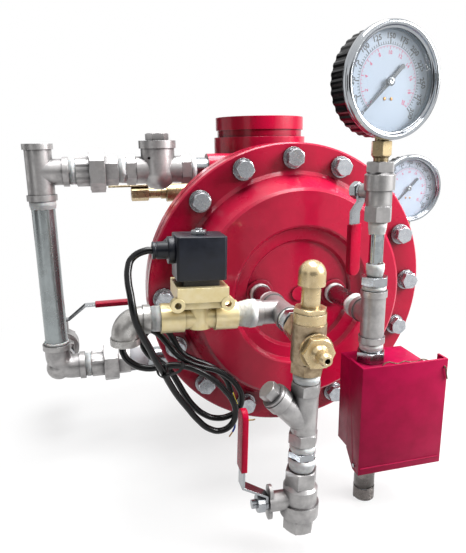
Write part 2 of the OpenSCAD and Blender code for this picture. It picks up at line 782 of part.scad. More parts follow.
// Horizontal boss on the body from x0 to x1
module body_boss(x0, x1, y, z, r) translate([x0, y, z]) to_x() cylinder(r = r, h = x1 - x0);

module valve_body() color("crimson") difference() {
    union() {
        difference() {
            union() {
                on_axis(flange_back) rotate_extrude($fn = 96) polygon([
                    [0, 0], [chamber_r, -flange_root], [chamber_r + flange_root, 0], [flange_r - 1.5, 0],
                    [flange_r, 1.5], [flange_r, body_flange_t], [0, body_flange_t]
                ]);
                intersection() {
                    on_axis(back_reach) cylinder(r = chamber_r, h = back_reach - flange_back, $fn = 96);
                    translate([0, back_reach - dome_r, axis_z]) sphere(r = dome_r, $fn = 96);
                }
                grooved_end();
                up(body_height) mirror([0, 0, 1]) grooved_end();
                body_boss(boss_end, -neck_r / 2, -loop_front, loop_top, boss_r);
                body_boss(low_boss, -neck_r / 2, -loop_front, loop_low, boss_r);
                body_boss(-neck_r - 12, -neck_r / 2, 0, drip_z, drip_body_r + 3);
                body_boss(neck_r / 2, neck_r + 8, rear_gauge_y, supply_z, quarter_r + 5);
            }
            intersection() {
                on_axis(back_reach) cylinder(r = chamber_r - body_wall, h = back_reach - split_y + 1, $fn = 96);
                translate([0, back_reach - dome_r, axis_z]) sphere(r = dome_r - body_wall, $fn = 96);
            }
        }
        intersection() {
            union() {
                up(axis_z - chamber_r + body_wall / 2)
                    cylinder(r = bore_r + body_wall, h = chamber_r - body_wall / 2, $fn = 96);
                up(axis_z) sphere(r = bore_r + body_wall, $fn = 96);
                up(axis_z) to_front()
                    cylinder(r = bore_r + body_wall, h = -split_y - seat_setback, $fn = 96);
            }
            translate([0, -100, axis_z]) cube([300, 400, 2 * chamber_r], center = true);
        }
    }
    up(-1) cylinder(r = bore_r, h = axis_z + 1, $fn = 96);
    up(axis_z) sphere(r = bore_r, $fn = 96);
    up(axis_z) to_front() cylinder(r = bore_r, h = 200, $fn = 96);
    up(axis_z + bore_r + body_wall + 8) cylinder(r = bore_r, h = body_height, $fn = 96);
    on_axis(flange_back) bolt_holes(body_flange_t);
    body_boss(boss_end - 1, boss_end + tq_grip, -loop_front, loop_top, tq_r + thread_gap);
    body_boss(boss_end, -bore_r / 2, -loop_front, loop_top, tq_bore / 2);
    body_boss(low_boss - 1, low_boss + tq_grip, -loop_front, loop_low, tq_r + thread_gap);
    body_boss(low_boss, -bore_r / 2, -loop_front, loop_low, tq_bore / 2);
    body_boss(-neck_r - 13, -neck_r - 12 + quarter_grip, 0, drip_z, quarter_r + thread_gap);
    body_boss(-neck_r - 12, -bore_r + 2, 0, drip_z, quarter_bore / 2);
    body_boss(neck_r + 8 - quarter_grip, neck_r + 9, rear_gauge_y, supply_z, quarter_r + thread_gap);
    body_boss(bore_r / 2, neck_r + 8, rear_gauge_y, supply_z, quarter_bore / 2);
}
module seat_ring() color("goldenrod") on_axis(split_y + seat_setback)
    tube(bore_r + body_wall - 1, bore_r - 1, seat_setback);
module diaphragm() color("dimgray") on_axis(split_y) difference() {
    cylinder(r = flange_r - 0.5, h = diaphragm_t, $fn = 96);
    up(-1) cylinder(r = bore_r + body_wall + 1.3, h = diaphragm_t + 2, $fn = 96);
    bolt_holes(diaphragm_t);
}
module seat_disc() color("dimgray") on_axis(split_y) tube(bore_r + body_wall + 1, 8, diaphragm_t);
module diaphragm_plate() color("silver") on_axis(split_y) {
    up(-4) cylinder(r = bore_r - 4, h = 4);
    up(-12) nut_hex(bolt_af, 8);
    cylinder(r = 8 - thread_gap, h = diaphragm_t);
    up(diaphragm_t) cylinder(r = bore_r + body_wall - 2, h = 5);
    up(diaphragm_t + 5) nut_hex(bolt_af, 5);
}
module cover_fasteners() color("silver") on_axis(-cover_reach)
    on_bolts() {
        grip = cover_flange_t + diaphragm_t + body_flange_t;
        tube(washer_od / 2, bolt_d / 2 + 0.3, washer_t);
        up(washer_t) tube(spring_washer_od / 2, bolt_d / 2 + 0.3, washer_t);
        up(2 * washer_t) nut_hex(bolt_af, bolt_head);
        up(-grip - washer_t - nut_h - 3)
            cylinder(d = bolt_d, h = grip + 3 * washer_t + nut_h + 3 + tiny);
        up(-grip - washer_t) tube(washer_od / 2, bolt_d / 2 + 0.3, washer_t);
        up(-grip - washer_t - nut_h) difference() {
            nut_hex(bolt_af, nut_h);
            up(-1) cylinder(d = bolt_d + 0.1, h = nut_h + 2);
        }
    }

module half_tees() color("lightgray") {
    tee_frame() rotate([90, 0, 0]) mirror([1, 0, 0]) tee(half_fit);
    translate([right_port_x, right_y, right_port_z]) turn(90) tee(half_fit);
}
// From the inner face of the cover wall to each tee, then on to the pilot valve and down
module hex_nipples() color("silver") {
    inset = cover_wall;
    l_len = left_tee_reach - half_run + half_grip + inset;
    translate([left_port_x, floor_y + inset, left_port_z]) to_front() nipple(half_fit, l_len);
    r_len = right_reach - half_run + half_grip + inset;
    translate([right_port_x, floor_y + inset, right_port_z]) to_front() nipple(half_fit, r_len);
    translate([left_port_x, tee_y - half_run + half_grip, left_port_z]) to_front()
        collar_nipple(half_fit, feed_gap + 2 * half_grip, half_af, half_grip + feed_tape, 10);
    pilot_frame() {
        up(strainer_top - half_grip) nipple(half_fit, strainer_gap + 2 * half_grip);
        up(drain_top - half_grip)
            collar_nipple(half_fit, drain_gap + 2 * half_grip, half_af - 1, half_grip + 12, 7);
    }
    solenoid_frame() {
        translate([solenoid_right - half_grip, 0, 0]) to_x() nipple(half_fit, solenoid_gap + 2 * half_grip);
        translate([iron_x + iron_run - half_grip, 0, 0]) to_x() nipple(half_fit, iron_gap + 2 * half_grip);
    }
    translate([right_port_x, right_y, release_mid + release_len / 2 - half_grip])
        nipple(half_fit, tee_low + 2 * half_grip - release_mid - release_len / 2);
    translate([right_port_x, right_y, -outlet_drop]) {
        tube(half_r - 0.2, half_way, outlet_thread);
        up(outlet_thread) nipple(half_fit, release_mid - release_len / 2 + half_grip + outlet_drop - outlet_thread);
    }
}
// Reducing bushing on the right tee and the two locknuts on the release box
module bushings() color("silver") {
    translate([right_port_x, right_y, 0]) {
        difference() {
            union() {
                up(tee_top - half_grip) cylinder(r = half_r, h = half_grip + bushing_gap + tiny);
                up(bushing_low) nut_hex(half_af, bushing_h);
            }
            up(tee_top - half_grip - 1) cylinder(r = quarter_bore / 2, h = 100);
            up(bushing_top) mirror([0, 0, 1]) socket(quarter_fit);
        }
        for (z = [box_top, box_top - sheet_t - locknut_h]) up(z) difference() {
            nut_hex(half_af + 2, locknut_h);
            up(-1) cylinder(r = half_r + thread_gap, h = locknut_h + 2);
        }
    }
}

module pilot_body() color("darkkhaki") pilot_frame() difference() {
    union() {
        up(-pilot_body_drop) cylinder(r = pilot_body_r, h = pilot_body_drop + pilot_body_top);
        up(pilot_low) nut_hex(half_bead, pilot_collar_len + tiny);
        rotate([-90, 0, 0]) nut_hex(half_bead - 1, pilot_boss);
        up(-vent_drop) to_front() cylinder(r = vent_af / 2 - 1, h = pilot_body_r + 1);
    }
    up(pilot_low) socket(half_fit);
    up(pilot_low - 1) cylinder(r = half_way, h = -pilot_low - 15);
    up(-8) cylinder(r = 10.5, h = pilot_body_top + 9);
    translate([0, pilot_boss, 0]) rotate([90, 0, 0]) socket(half_fit);
    translate([0, pilot_boss, 0]) to_front() cylinder(r = 6, h = pilot_boss);
    up(pilot_body_top) cylinder(r = bonnet_collar_r + 0.5, h = 20);
    up(-14) cylinder(r = 5, h = 10);
    up(pilot_low) cylinder(r = 4, h = 40);
    up(-vent_drop) to_front() cylinder(r = vent_hole_r, h = pilot_body_r + 2);
}
module pilot_bonnet() color("goldenrod") pilot_frame() difference() {
    hex_z = pilot_body_top + bonnet_collar_h;
    union() {
        up(1) cylinder(r = 10.4, h = pilot_body_top - 1 + tiny);
        up(pilot_body_top) cylinder(r = bonnet_collar_r, h = bonnet_collar_h);
        up(hex_z - tiny) nut_hex(bonnet_af, bonnet_hex_h);
        up(hex_z + bonnet_hex_h - 1) cylinder(r = bonnet_neck_r, h = bonnet_neck_h + 11);
    }
    cylinder(r = 3 + run_gap, h = 100);
}
module pilot_vent() color("goldenrod") pilot_frame() translate([0, -pilot_body_r - 1, -vent_drop]) to_front()
    difference() {
        union() {
            cylinder(r = pilot_body_r, h = 2.5);
            nut_hex(vent_af, vent_hex_h);
            up(vent_hex_h - 1) cylinder(r1 = vent_r + 3, r2 = vent_r, h = 4);
            cylinder(r = vent_r, h = vent_hex_h + vent_len - 3);
            up(vent_hex_h + vent_len - 3.1) cylinder(r1 = vent_r, r2 = vent_r - 1.5, h = 3.1);
        }
        up(-1) cylinder(r = vent_hole_r, h = vent_hex_h + vent_len + 2);
    }
module pilot_cap() color("goldenrod") pilot_frame() {
    low = pilot_body_top + bonnet_collar_h + bonnet_hex_h + bonnet_neck_h;
    up(low) difference() {
        union() {
            cylinder(r = pilot_cap_r, h = pilot_cap_h - pilot_cap_r);
            intersection() {
                up(pilot_cap_h - pilot_cap_r) sphere(r = pilot_cap_r);
                cylinder(r = pilot_cap_r + 1, h = pilot_cap_h + 1);
            }
        }
        up(-1) cylinder(r = bonnet_neck_r + thread_gap, h = 1 + 10.5 + poppet_lift);
    }
}
module pilot_poppet() color("silver") pilot_frame() {
    up(-8 + run_gap) cylinder(r = 6.4, h = 4);
    up(-4.1) cylinder(r = 3, h = 36);
}

// Branch frame of the strainer, +Z out along the branch
module branch_frame() up(strainer_low + branch_root) rotate([0, -branch_angle, 0]) children();
module strainer_body() color("silver") pilot_frame() difference() {
    union() {
        up(strainer_low) nut_hex(half_af, strainer_hex);
        up(strainer_top - strainer_hex) nut_hex(half_af, strainer_hex);
        up(strainer_low + 1) cylinder(r = strainer_r, h = strainer_len - 2);
        branch_frame() cylinder(r = branch_r, h = branch_len);
        branch_frame() up(branch_len - 9) cylinder(r = branch_r + 1.4, h = 9);
    }
    up(strainer_low) socket(half_fit);
    up(strainer_top) mirror([0, 0, 1]) socket(half_fit);
    up(strainer_low - 1) cylinder(r = half_way, h = strainer_len + 2);
    branch_frame() cylinder(r = branch_r - 2.4, h = branch_len + 1);
}
module strainer_plug() color("silver") pilot_frame() branch_frame() {
    up(branch_len - 8) cylinder(r = branch_r - 2.4 - thread_gap, h = 8 + tiny);
    up(branch_len) cylinder(r = branch_r + 0.6, h = 2.5);
    up(branch_len + 2.5 - tiny) nut_hex(plug_af, plug_h);
}
module strainer_screen() color("gray") pilot_frame() branch_frame()
    up(6) tube(branch_r - 2.9, branch_r - 3.7, branch_len - 8 - 6);

// Drain valve frame, stem to the left
module drain_frame() pilot_frame() up(drain_low) turn(180) children();
module drain_valve_body() color("silver") drain_frame() {
    ball_valve(half_fit, drain_len, drain_mid - drain_low, drain_af, drain_hex_low, drain_hex_top, drain_mid_r,
        [1.9, 13], ball_r, way_r, tower_r, tower_reach, stem_r);
    translate([tower_reach - 3, 0, drain_mid - drain_low]) to_x() difference() {
        union() {
            translate([-10, -6, 0]) cube([20, 12, 3]);
            for (k = [-1, 1]) translate([10 * k, 0, 0]) cylinder(r = 7, h = 3);
        }
        up(-1) cylinder(r = stem_r + run_gap, h = 5);
    }
}
module drain_stem() color("gray") drain_frame() ball_stem(drain_mid - drain_low, ball_r, way_r, stem_r,
    tower_reach + lever_t + stem_nut_h + 6, tower_reach + lever_t + 1.3, 0);
module drain_lever() color("silver") drain_frame() up(drain_mid - drain_low)
    flat_lever(tower_reach + 1, lever_step, step_start, step_end, lever_len, lever_w, stem_r);
module drain_sleeve() color("red") drain_frame() up(drain_mid - drain_low)
    sleeve(tower_reach + 1 + lever_step, lever_len, sleeve_len, lever_w);

module solenoid_body() color("goldenrod") solenoid_frame() difference() {
    union() {
        translate([solenoid_left, 0, 0]) to_x() cylinder(r = solenoid_collar_r, h = solenoid_collar_len);
        translate([solenoid_right - solenoid_collar_len, 0, 0]) to_x()
            cylinder(r = solenoid_collar_r, h = solenoid_collar_len);
        translate([solenoid_left + 2, 0, 0]) to_x() cylinder(r = half_body / 2, h = solenoid_len - 4);
        translate([solenoid_x, 0, -bowl_drop]) cylinder(r = bowl_r, h = bowl_drop + bonnet_low);
        translate([solenoid_x - bonnet_side / 2 + 4, -bonnet_side / 2 + 4, bonnet_low - ledge_t])
            cube([bonnet_side - 8, bonnet_side - 8, ledge_t + tiny]);
        translate([solenoid_x - bonnet_side / 2, -bonnet_side / 2, bonnet_low])
            cube([bonnet_side, bonnet_side, bonnet_t]);
        for (k = [-1, 1]) translate([solenoid_x + k * (bonnet_side / 2 - 0.5), 0, bonnet_low - 2]) to_front()
            up(bonnet_side / 2 - 7.5) cylinder(r = lug_r, h = 8);
    }
    translate([solenoid_left, 0, 0]) to_x() {
        socket(half_fit);
        up(solenoid_len) mirror([0, 0, 1]) socket(half_fit);
        cylinder(r = 6, h = solenoid_len);
    }
    translate([solenoid_x, 0, 3]) cylinder(r = core_r + thread_gap, h = 100);
    for (k = [-1, 1]) translate([solenoid_x + k * (bonnet_side / 2 - 0.5), 0, bonnet_low - 2]) to_front()
        up(bonnet_side / 2 - 9) cylinder(r = lug_hole_r, h = 12);
}
// Armature tube with its closed top, and the nut that holds the coil on it
module core_tube() color("silver") solenoid_frame() translate([solenoid_x, 0, 0]) {
    low = bonnet_low - 2;
    difference() {
        union() {
            up(low) cylinder(r = core_r, h = coil_top - 4 - low);
            up(coil_top - 5) cylinder(r = core_r / 2, h = 5 + coil_nut_h + 1.5);
        }
        up(low - 1) cylinder(r = plunger_r + run_gap, h = 31 + plunger_stroke);
    }
    up(coil_top) difference() {
        nut_hex(coil_nut_af, coil_nut_h);
        up(-1) cylinder(r = core_r / 2 + thread_gap, h = coil_nut_h + 2);
    }
}
module plunger() color("gray") solenoid_frame() translate([solenoid_x, 0, bonnet_low - 8])
    cylinder(r = plunger_r, h = 35);
// Coil block on its narrower foot
module coil() color("black") solenoid_frame() translate([solenoid_x, 0, coil_low]) difference() {
    union() {
        translate([-coil_w / 2, -coil_d / 2, 0]) cube([coil_w, coil_d, coil_h]);
        translate([-coil_neck_side / 2, -coil_neck_side / 2, -coil_neck_h])
            cube([coil_neck_side, coil_neck_side, coil_neck_h + 1]);
    }
    up(-coil_neck_h - 1) cylinder(r = core_r + 0.1, h = coil_neck_h + 1 + coil_h - 4);
    cylinder(r = core_r / 2 + 0.1, h = coil_h + 1);
    for (x = [-1, 1]) for (y = [-1, 1]) translate([x * coil_w / 2, y * coil_d / 2, -1]) turn(45)
        cube([3, 3, 2 * coil_h + 4], center = true);
}
module cable_plug() color("black") solenoid_frame() translate([gland_x, 0, plug_z]) {
    to_x() cylinder(r = plug_r, h = plug_t);
    translate([-gland_len, 0, 0]) to_x() cylinder(r = gland_r - 0.7, h = gland_len + tiny);
    translate([-gland_len * 0.72, 0, 0]) to_x() cylinder(r = gland_r, h = gland_len * 0.72 + tiny);
    translate([-gland_len, 0, 0]) to_x() cylinder(r = gland_r, h = gland_len * 0.18);
}

// Tube swept along the route, with rings across the bisector at each point
module swept(route, r, sides) {
    n = len(route);
    function unit(v) = v / norm(v);
    dirs = [for (i = [0 : n - 1]) unit(route[min(i + 1, n - 1)] - route[max(i - 1, 0)])];
    function frame(d, u) = unit(u - (u * d) * d);
    ups = [for (i = 0, u = frame(dirs[0], [0, 1, 0]); i < n; i = i + 1,
        u = frame(dirs[min(i, n - 1)], u)) u];
    points = [for (i = [0 : n - 1]) for (k = [0 : sides - 1])
        route[i] + r * cos(360 * k / sides) * ups[i] + r * sin(360 * k / sides) * cross(dirs[i], ups[i])];
    sidesets = [for (i = [0 : n - 2]) for (k = [0 : sides - 1]) let (m = (k + 1) % sides)
        [i * sides + k, i * sides + m, (i + 1) * sides + m, (i + 1) * sides + k]];
    ends = [[for (k = [sides - 1 : -1 : 0]) k], [for (k = [0 : sides - 1]) (n - 1) * sides + k]];
    polyhedron(points, concat(sidesets, ends), convexity = 10);
}
module cord() color("black") swept(cord_route, cord_d / 2, 8);

module iron_elbow() color("dimgray") solenoid_frame() translate([iron_x, 0, 0]) elbow(iron_fit);

// Gauge valve frame, stem turned to the back left
module gauge_valve_frame() translate([right_port_x, right_y, gauge_valve_low])
    turn(gauge_stem_turn) children();
module gauge_valve_body() color("silver") gauge_valve_frame() up(gauge_valve_len)
    mirror([0, 0, 1]) ball_valve(quarter_fit, gauge_valve_len, gauge_valve_len / 2, gauge_valve_af,
    gauge_valve_hex - 3, gauge_valve_hex + 2, gauge_valve_r, [2.2, 14], gauge_ball_r, gauge_way_r,
    tower_r - 2, gauge_tower_reach, stem_r - 0.5);
module gauge_stem() color("gray") gauge_valve_frame() ball_stem(gauge_valve_len / 2, gauge_ball_r, gauge_way_r,
    stem_r - 0.5, gauge_tower_reach + lever_t + stem_nut_h + 2, gauge_tower_reach + lever_t + 1.3, 0);
module gauge_lever() color("silver") gauge_valve_frame() up(gauge_valve_len / 2)
    mirror([0, 0, 1]) flat_lever(gauge_tower_reach + 1, 6, 10, 20, gauge_lever_len, lever_w, stem_r - 0.5);
module gauge_sleeve() color("red") gauge_valve_frame() up(gauge_valve_len / 2)
    mirror([0, 0, 1]) sleeve(gauge_tower_reach + 7, gauge_lever_len, gauge_sleeve_len, lever_w);
module gauge_pipes() color("lightgray") {
    translate([right_port_x, right_y, bushing_top - quarter_grip])
        nipple(quarter_fit, gauge_nipple_len + 2 * quarter_grip);
    coupler = rear_gauge_z - gauge_z + socket_low;
    translate([rear_gauge_x, rear_gauge_y, supply_z + quarter_run - quarter_grip])
        nipple(quarter_fit, coupler - 14 - supply_z - quarter_run + quarter_grip);
    translate([rear_gauge_x, rear_gauge_y, coupler - 22]) difference() {
        nut_hex(19, 22);
        up(-1) cylinder(r = quarter_r + thread_gap, h = 40);
    }
    translate([rear_gauge_x, rear_gauge_y, supply_z]) rotate([0, 180, 0]) elbow(quarter_fit);
    translate([neck_r + 8 - quarter_grip, rear_gauge_y, supply_z]) to_x()
        nipple(quarter_fit, rear_gauge_x - quarter_run - neck_r - 8 + 2 * quarter_grip);
}

function rib_outline(r, n, d) = [for (i = [0 : 4 * n - 1]) let (a = 360 * i / (4 * n))
    (r - (i % 4 < 2 ? 0 : d)) * [cos(a), sin(a)]];
module one_case() difference() {
    up(-case_depth) linear_extrude(case_depth - 4) polygon(rib_outline(case_od / 2, rib_count, 0.9));
    up(-case_depth + 3) cylinder(r = case_od / 2 - 3.5, h = case_depth);
    up(-socket_setback) rotate([90, 0, 0]) cylinder(r = 6.8, h = 100);
}
module gauge_cases() color("black") for (p = [front_gauge, rear_gauge]) gauge_frame(p) one_case();
module one_bezel() rotate_extrude($fn = 96) polygon([
    [window_r, -2.2], [window_r + 1.2, 0], [bezel_od / 2 - 1.5, 0], [bezel_od / 2, -1.5],
    [bezel_od / 2, -bezel_depth], [case_od / 2 + 0.15, -bezel_depth], [case_od / 2 + 0.15, -3.8], [window_r, -3.8]
]);
module gauge_bezels() color("lightgray") for (p = [front_gauge, rear_gauge]) gauge_frame(p) one_bezel();
module gauge_lenses() color([0.8, 0.9, 1, 0.3]) for (p = [front_gauge, rear_gauge]) gauge_frame(p)
    up(-5.8) cylinder(r = case_od / 2 - 3.6, h = 1.9);
module gauge_dials() color("white") for (p = [front_gauge, rear_gauge]) gauge_frame(p)
    up(-12) tube(case_od / 2 - 3.6, 1.6, 1);
// Brass socket from its thread up to the movement block inside the case
module one_socket() difference() {
    union() {
        up(-socket_top - socket_hex_h) nut_hex(socket_af, socket_hex_h);
        up(-socket_top - 1) cylinder(r = 6.4, h = socket_top - case_od / 2 + 4);
        up(-socket_top - socket_hex_h - 2) cylinder(r1 = quarter_r, r2 = socket_af / 2 - 0.1, h = 2 + tiny);
        up(-socket_top - socket_hex_h - socket_neck - quarter_grip)
            cylinder(r = quarter_r, h = socket_neck + quarter_grip + 1);
        translate([-5.2, -3.4, -case_od / 2 + 2.5]) cube([10.4, 7.4, case_od / 2 + 7.5]);
    }
    translate([0, -10, 0]) rotate([-90, 0, 0]) cylinder(r = 1.2 + run_gap, h = 20);
    up(-case_od) cylinder(r = 2.5, h = case_od / 2 + 10);
}
module gauge_sockets() color("goldenrod") for (p = [front_gauge, rear_gauge])
    socket_frame(p) one_socket();
// Pointer at zero, lower left; its arbor runs back into the movement
module one_pointer() turn(135) {
    up(-9.4) linear_extrude(0.7) polygon([
        [-0.4, 36], [0.4, 36], [1.8, 0], [1.6, -19], [-1.6, -19], [-1.8, 0]
    ]);
    translate([0, -18.4, -9.4]) cylinder(r = 2.3, h = 0.7);
    up(-9.6) cylinder(r = 3.6, h = 2.2);
    up(-socket_setback - 2) cylinder(r = 1.2, h = socket_setback - 7);
}
module pointer_front() color("black") gauge_frame(front_gauge) one_pointer();
module pointer_rear() color("black") gauge_frame(rear_gauge) one_pointer();

// Side wall of the box as a profile in Y and Z, with the hinge ear
module box_side() rotate([90, 0, 90]) linear_extrude(sheet_t) polygon([
    [box_rear, box_low], [box_rear, box_top], [box_front, box_top], [box_front, hinge_z - 3.5],
    [hinge_y + 5, hinge_z - 3.5], [hinge_y + 18, box_low]
]);
module release_box() color("crimson") difference() {
    union() {
        translate([box_left, 0, 0]) box_side();
        translate([box_left + box_w - sheet_t, 0, 0]) box_side();
        translate([box_left, box_rear - sheet_t, box_low]) cube([box_w, sheet_t, box_h]);
        translate([box_left, box_front, box_top - sheet_t]) cube([box_w, box_d, sheet_t]);
        translate([box_left, hinge_y + 17, box_low]) cube([box_w, box_rear - hinge_y - 17, sheet_t]);
    }
    translate([right_port_x, right_y, 0]) cylinder(r = half_r + 0.35, h = 200);
    translate([box_left - 1, hinge_y, hinge_z]) to_x() cylinder(r = hinge_r, h = box_w + 2);
}
module release_lid() color("crimson") difference() {
    union() {
        translate([lid_left, lid_inner - sheet_t, lid_low]) cube([lid_w, sheet_t, lid_top - lid_low]);
        translate([lid_left, 0, 0]) rotate([90, 0, 90]) linear_extrude(sheet_t) polygon([
            [lid_inner - 1, lid_low], [lid_inner - 1, lid_top], [lid_inner + lid_side, lid_top],
            [lid_inner + lid_side, box_low + 2], [hinge_y + 5, hinge_z - 4], [hinge_y + 3, lid_low]
        ]);
        translate([lid_left + lid_w - sheet_t, lid_inner - 1, lid_low])
            cube([sheet_t, 13, lid_top - lid_low]);
        translate([box_left + box_w + lid_gap, 0, 0]) rotate([90, 0, 90]) linear_extrude(sheet_t) polygon([
            [lid_inner - 1, hinge_z - 4], [lid_inner - 1, hinge_z + 14], [hinge_y + 4, hinge_z + 4],
            [hinge_y + 4, hinge_z - 4]
        ]);
    }
    translate([lid_left - 1, hinge_y, hinge_z]) to_x() cylinder(r = hinge_r + run_gap, h = lid_w);
}
module hinge_pins() color("silver") {
    translate([lid_left - 1, hinge_y, hinge_z]) to_x() cylinder(r = hinge_r - 0.01, h = 2 * sheet_t + lid_gap + 2);
    translate([box_left + box_w - sheet_t - 1, hinge_y, hinge_z]) to_x()
        cylinder(r = hinge_r - 0.01, h = 2 * sheet_t + lid_gap + 2);
}
// Release valve frame, stem to the front
module release_frame() translate([right_port_x, right_y, release_mid - release_len / 2])
    turn(-90) children();
module release_valve_body() color("silver") release_frame() ball_valve(half_fit, release_len, release_len / 2,
    half_af, 11.5, 11.5, release_r, [0.6, 8], ball_r - 2, way_r - 1, 7, release_r + 3, stem_r - 0.5);
module release_lever() color("silver") release_frame() {
    difference() {
        union() {
            up(release_len / 2) sphere(r = ball_r - 2);
            up(release_len / 2) to_x() cylinder(r = stem_r - 0.5, h = release_r + 8);
        }
        up(release_len / 2) rotate([90, 0, 0])
            cylinder(r = way_r - 1, h = 2 * ball_r + 2, center = true);
    }
    translate([release_r + 4, 0, release_len / 2]) rotate([-90, 0, 0])
        difference() {
            union() {
                translate([0, -lever_w / 2 + 1, -2]) cube([lever_t, lever_w - 2, release_lever_len - 5]);
                to_x() cylinder(r = lever_w / 2, h = lever_t);
                up(release_lever_len - 8) to_x() cylinder(r = lever_w / 2 - 1, h = lever_t);
            }
            translate([-1, 0, 0]) to_x() cylinder(r = stem_r - 0.47, h = lever_t + 2);
        }
}

// Tee at the top of the loop, and at the bottom an elbow with a side outlet to the rear valve
module loop_fittings() color("silver") {
    translate([loop_x, -loop_front, loop_top]) tee(tq_fit);
    translate([loop_x, -loop_front, loop_low]) mirror([0, 0, 1]) elbow(tq_fit, true);
}
module loop_pipe() color("lightgray") translate([loop_x, -loop_front, loop_low + tq_run - tq_grip])
    nipple(tq_fit, loop_top - loop_low - 2 * tq_run + 2 * tq_grip);
module loop_nipples() color("silver") {
    for (z = [loop_top, loop_low]) translate([loop_x + tq_run - tq_grip, -loop_front, z]) to_x()
        nipple(tq_fit, loop_nipple + 2 * tq_grip);
    translate([check_x - check_nipple - tq_grip, -loop_front, loop_top]) to_x()
        nipple(tq_fit, check_nipple + 2 * tq_grip);
    translate([check_x + check_len - tq_grip, -loop_front, loop_top]) to_x()
        nipple(tq_fit, boss_end - check_x - check_len + 2 * tq_grip);
    translate([low_union_x + 2 * union_hex + union_nut - tq_grip, -loop_front, loop_low]) to_x()
        nipple(tq_fit, low_boss - low_union_x - 2 * union_hex - union_nut + 2 * tq_grip);
    translate([loop_x, rear_front + tq_grip, loop_low]) to_front()
        collar_nipple(tq_fit, rear_nipple + 2 * tq_grip, tq_af, tq_grip + (rear_nipple - 9) / 2, 9);
}
// Union along +X: end hex, nut over the joint, end hex
module one_union() to_x() {
    mid = union_hex + union_nut / 2;
    difference() {
        union() {
            nut_hex(tq_af, union_hex + 2);
            cylinder(r = tq_af / 2 + 1, h = mid - tiny);
        }
        up(-1) cylinder(r = tq_bore / 2, h = 100);
        socket(tq_fit);
    }
    difference() {
        union() {
            up(union_hex + union_nut - 2) nut_hex(tq_af, union_hex + 2);
            up(mid) cylinder(r = tq_af / 2 + 1, h = mid - union_hex);
        }
        up(-1) cylinder(r = tq_bore / 2, h = 100);
        up(2 * union_hex + union_nut) mirror([0, 0, 1]) socket(tq_fit);
    }
    up(union_hex) difference() {
        nut_hex(union_af, union_nut);
        up(-1) cylinder(r = tq_af / 2 + 2.9, h = union_nut + 2);
    }
}
module unions() color("silver") {
    translate([union_x, -loop_front, loop_top]) one_union();
    translate([low_union_x, -loop_front, loop_low]) one_union();
}
module check_body() color("silver") translate([check_x, -loop_front, loop_top]) difference() {
    union() {
        to_x() nut_hex(tq_af, check_hex);
        translate([check_len - check_hex, 0, 0]) to_x() nut_hex(tq_af, check_hex);
        translate([1, 0, 0]) to_x() cylinder(r = check_r - 1.2, h = check_len - 2);
        translate([check_hex, 0, 0]) to_x() cylinder(r = check_r, h = check_len - 2 * check_hex);
        translate([check_len / 2, 0, -4]) cylinder(r = check_bonnet_r, h = check_bonnet_h + 4);
        translate([check_len / 2, 0, -4]) sphere(r = check_bonnet_r);
    }
    to_x() socket(tq_fit);
    translate([check_len, 0, 0]) rotate([0, -90, 0]) socket(tq_fit);
    translate([-1, 0, 0]) to_x() cylinder(r = tq_bore / 2 - 1, h = check_len + 2);
    translate([check_len / 2, 0, 0]) cylinder(r = check_bonnet_r - 2.6, h = check_bonnet_h + 1);
    translate([check_len / 2, 0, 0]) sphere(r = check_bonnet_r - 2.6);
    translate([check_len / 2 - 12, -check_bonnet_r, 14]) rotate([-90, 0, 0])
        cylinder(r = 1.5 + run_gap, h = 2 * check_bonnet_r);
}
module check_cap() color("silver") translate([check_mid, -loop_front, loop_top + check_bonnet_h]) {
    cylinder(r = check_cap_r, h = check_cap_h);
    up(-4) cylinder(r = check_bonnet_r - 2.7, h = 4 + tiny);
    up(check_cap_h - tiny) nut_hex(check_cap_af, check_cap_hex);
}
// Flap and its pin, closed against the inlet side seat
module check_flap() color("silver") translate([check_mid - 12, -loop_front, loop_top + 14]) {
    rotate([-90, 0, 0]) up(-12.4) cylinder(r = 1.5, h = 24.8);
    translate([-1.4, -4, -8]) cube([2.8, 8, 8]);
    translate([-1.4, 0, -14]) to_x() cylinder(r = 10.6, h = 3);
}

// Rear valve frame: flow along +Y from the loop elbow, stem up, outlet open at the back
module rear_frame() translate([loop_x, rear_front, loop_low]) rotate([-90, -90, 0]) children();
module rear_valve_body() color("silver") rear_frame() ball_valve(tq_fit, rear_len, rear_len / 2, tq_af + 3,
    tq_grip + 1, tq_grip + 1, rear_r, [0.8, 9], rear_ball_r, way_r + 2, tower_r + 1, rear_tower, stem_r);
module rear_lever() color("silver") rear_frame() {
    ball_stem(rear_len / 2, rear_ball_r, way_r + 2, stem_r, rear_tower + lever_t + stem_nut_h + 3,
        rear_tower + lever_t + 1.3, 90);
    up(rear_len / 2) rotate([-90, 0, 0])
        flat_lever(rear_tower + 1, 18, 11, 34, rear_lever_len, lever_w, stem_r);
}
module rear_sleeve() color("red") rear_frame() up(rear_len / 2) rotate([-90, 0, 0])
    sleeve(rear_tower + 19, rear_lever_len, rear_sleeve_len, lever_w);

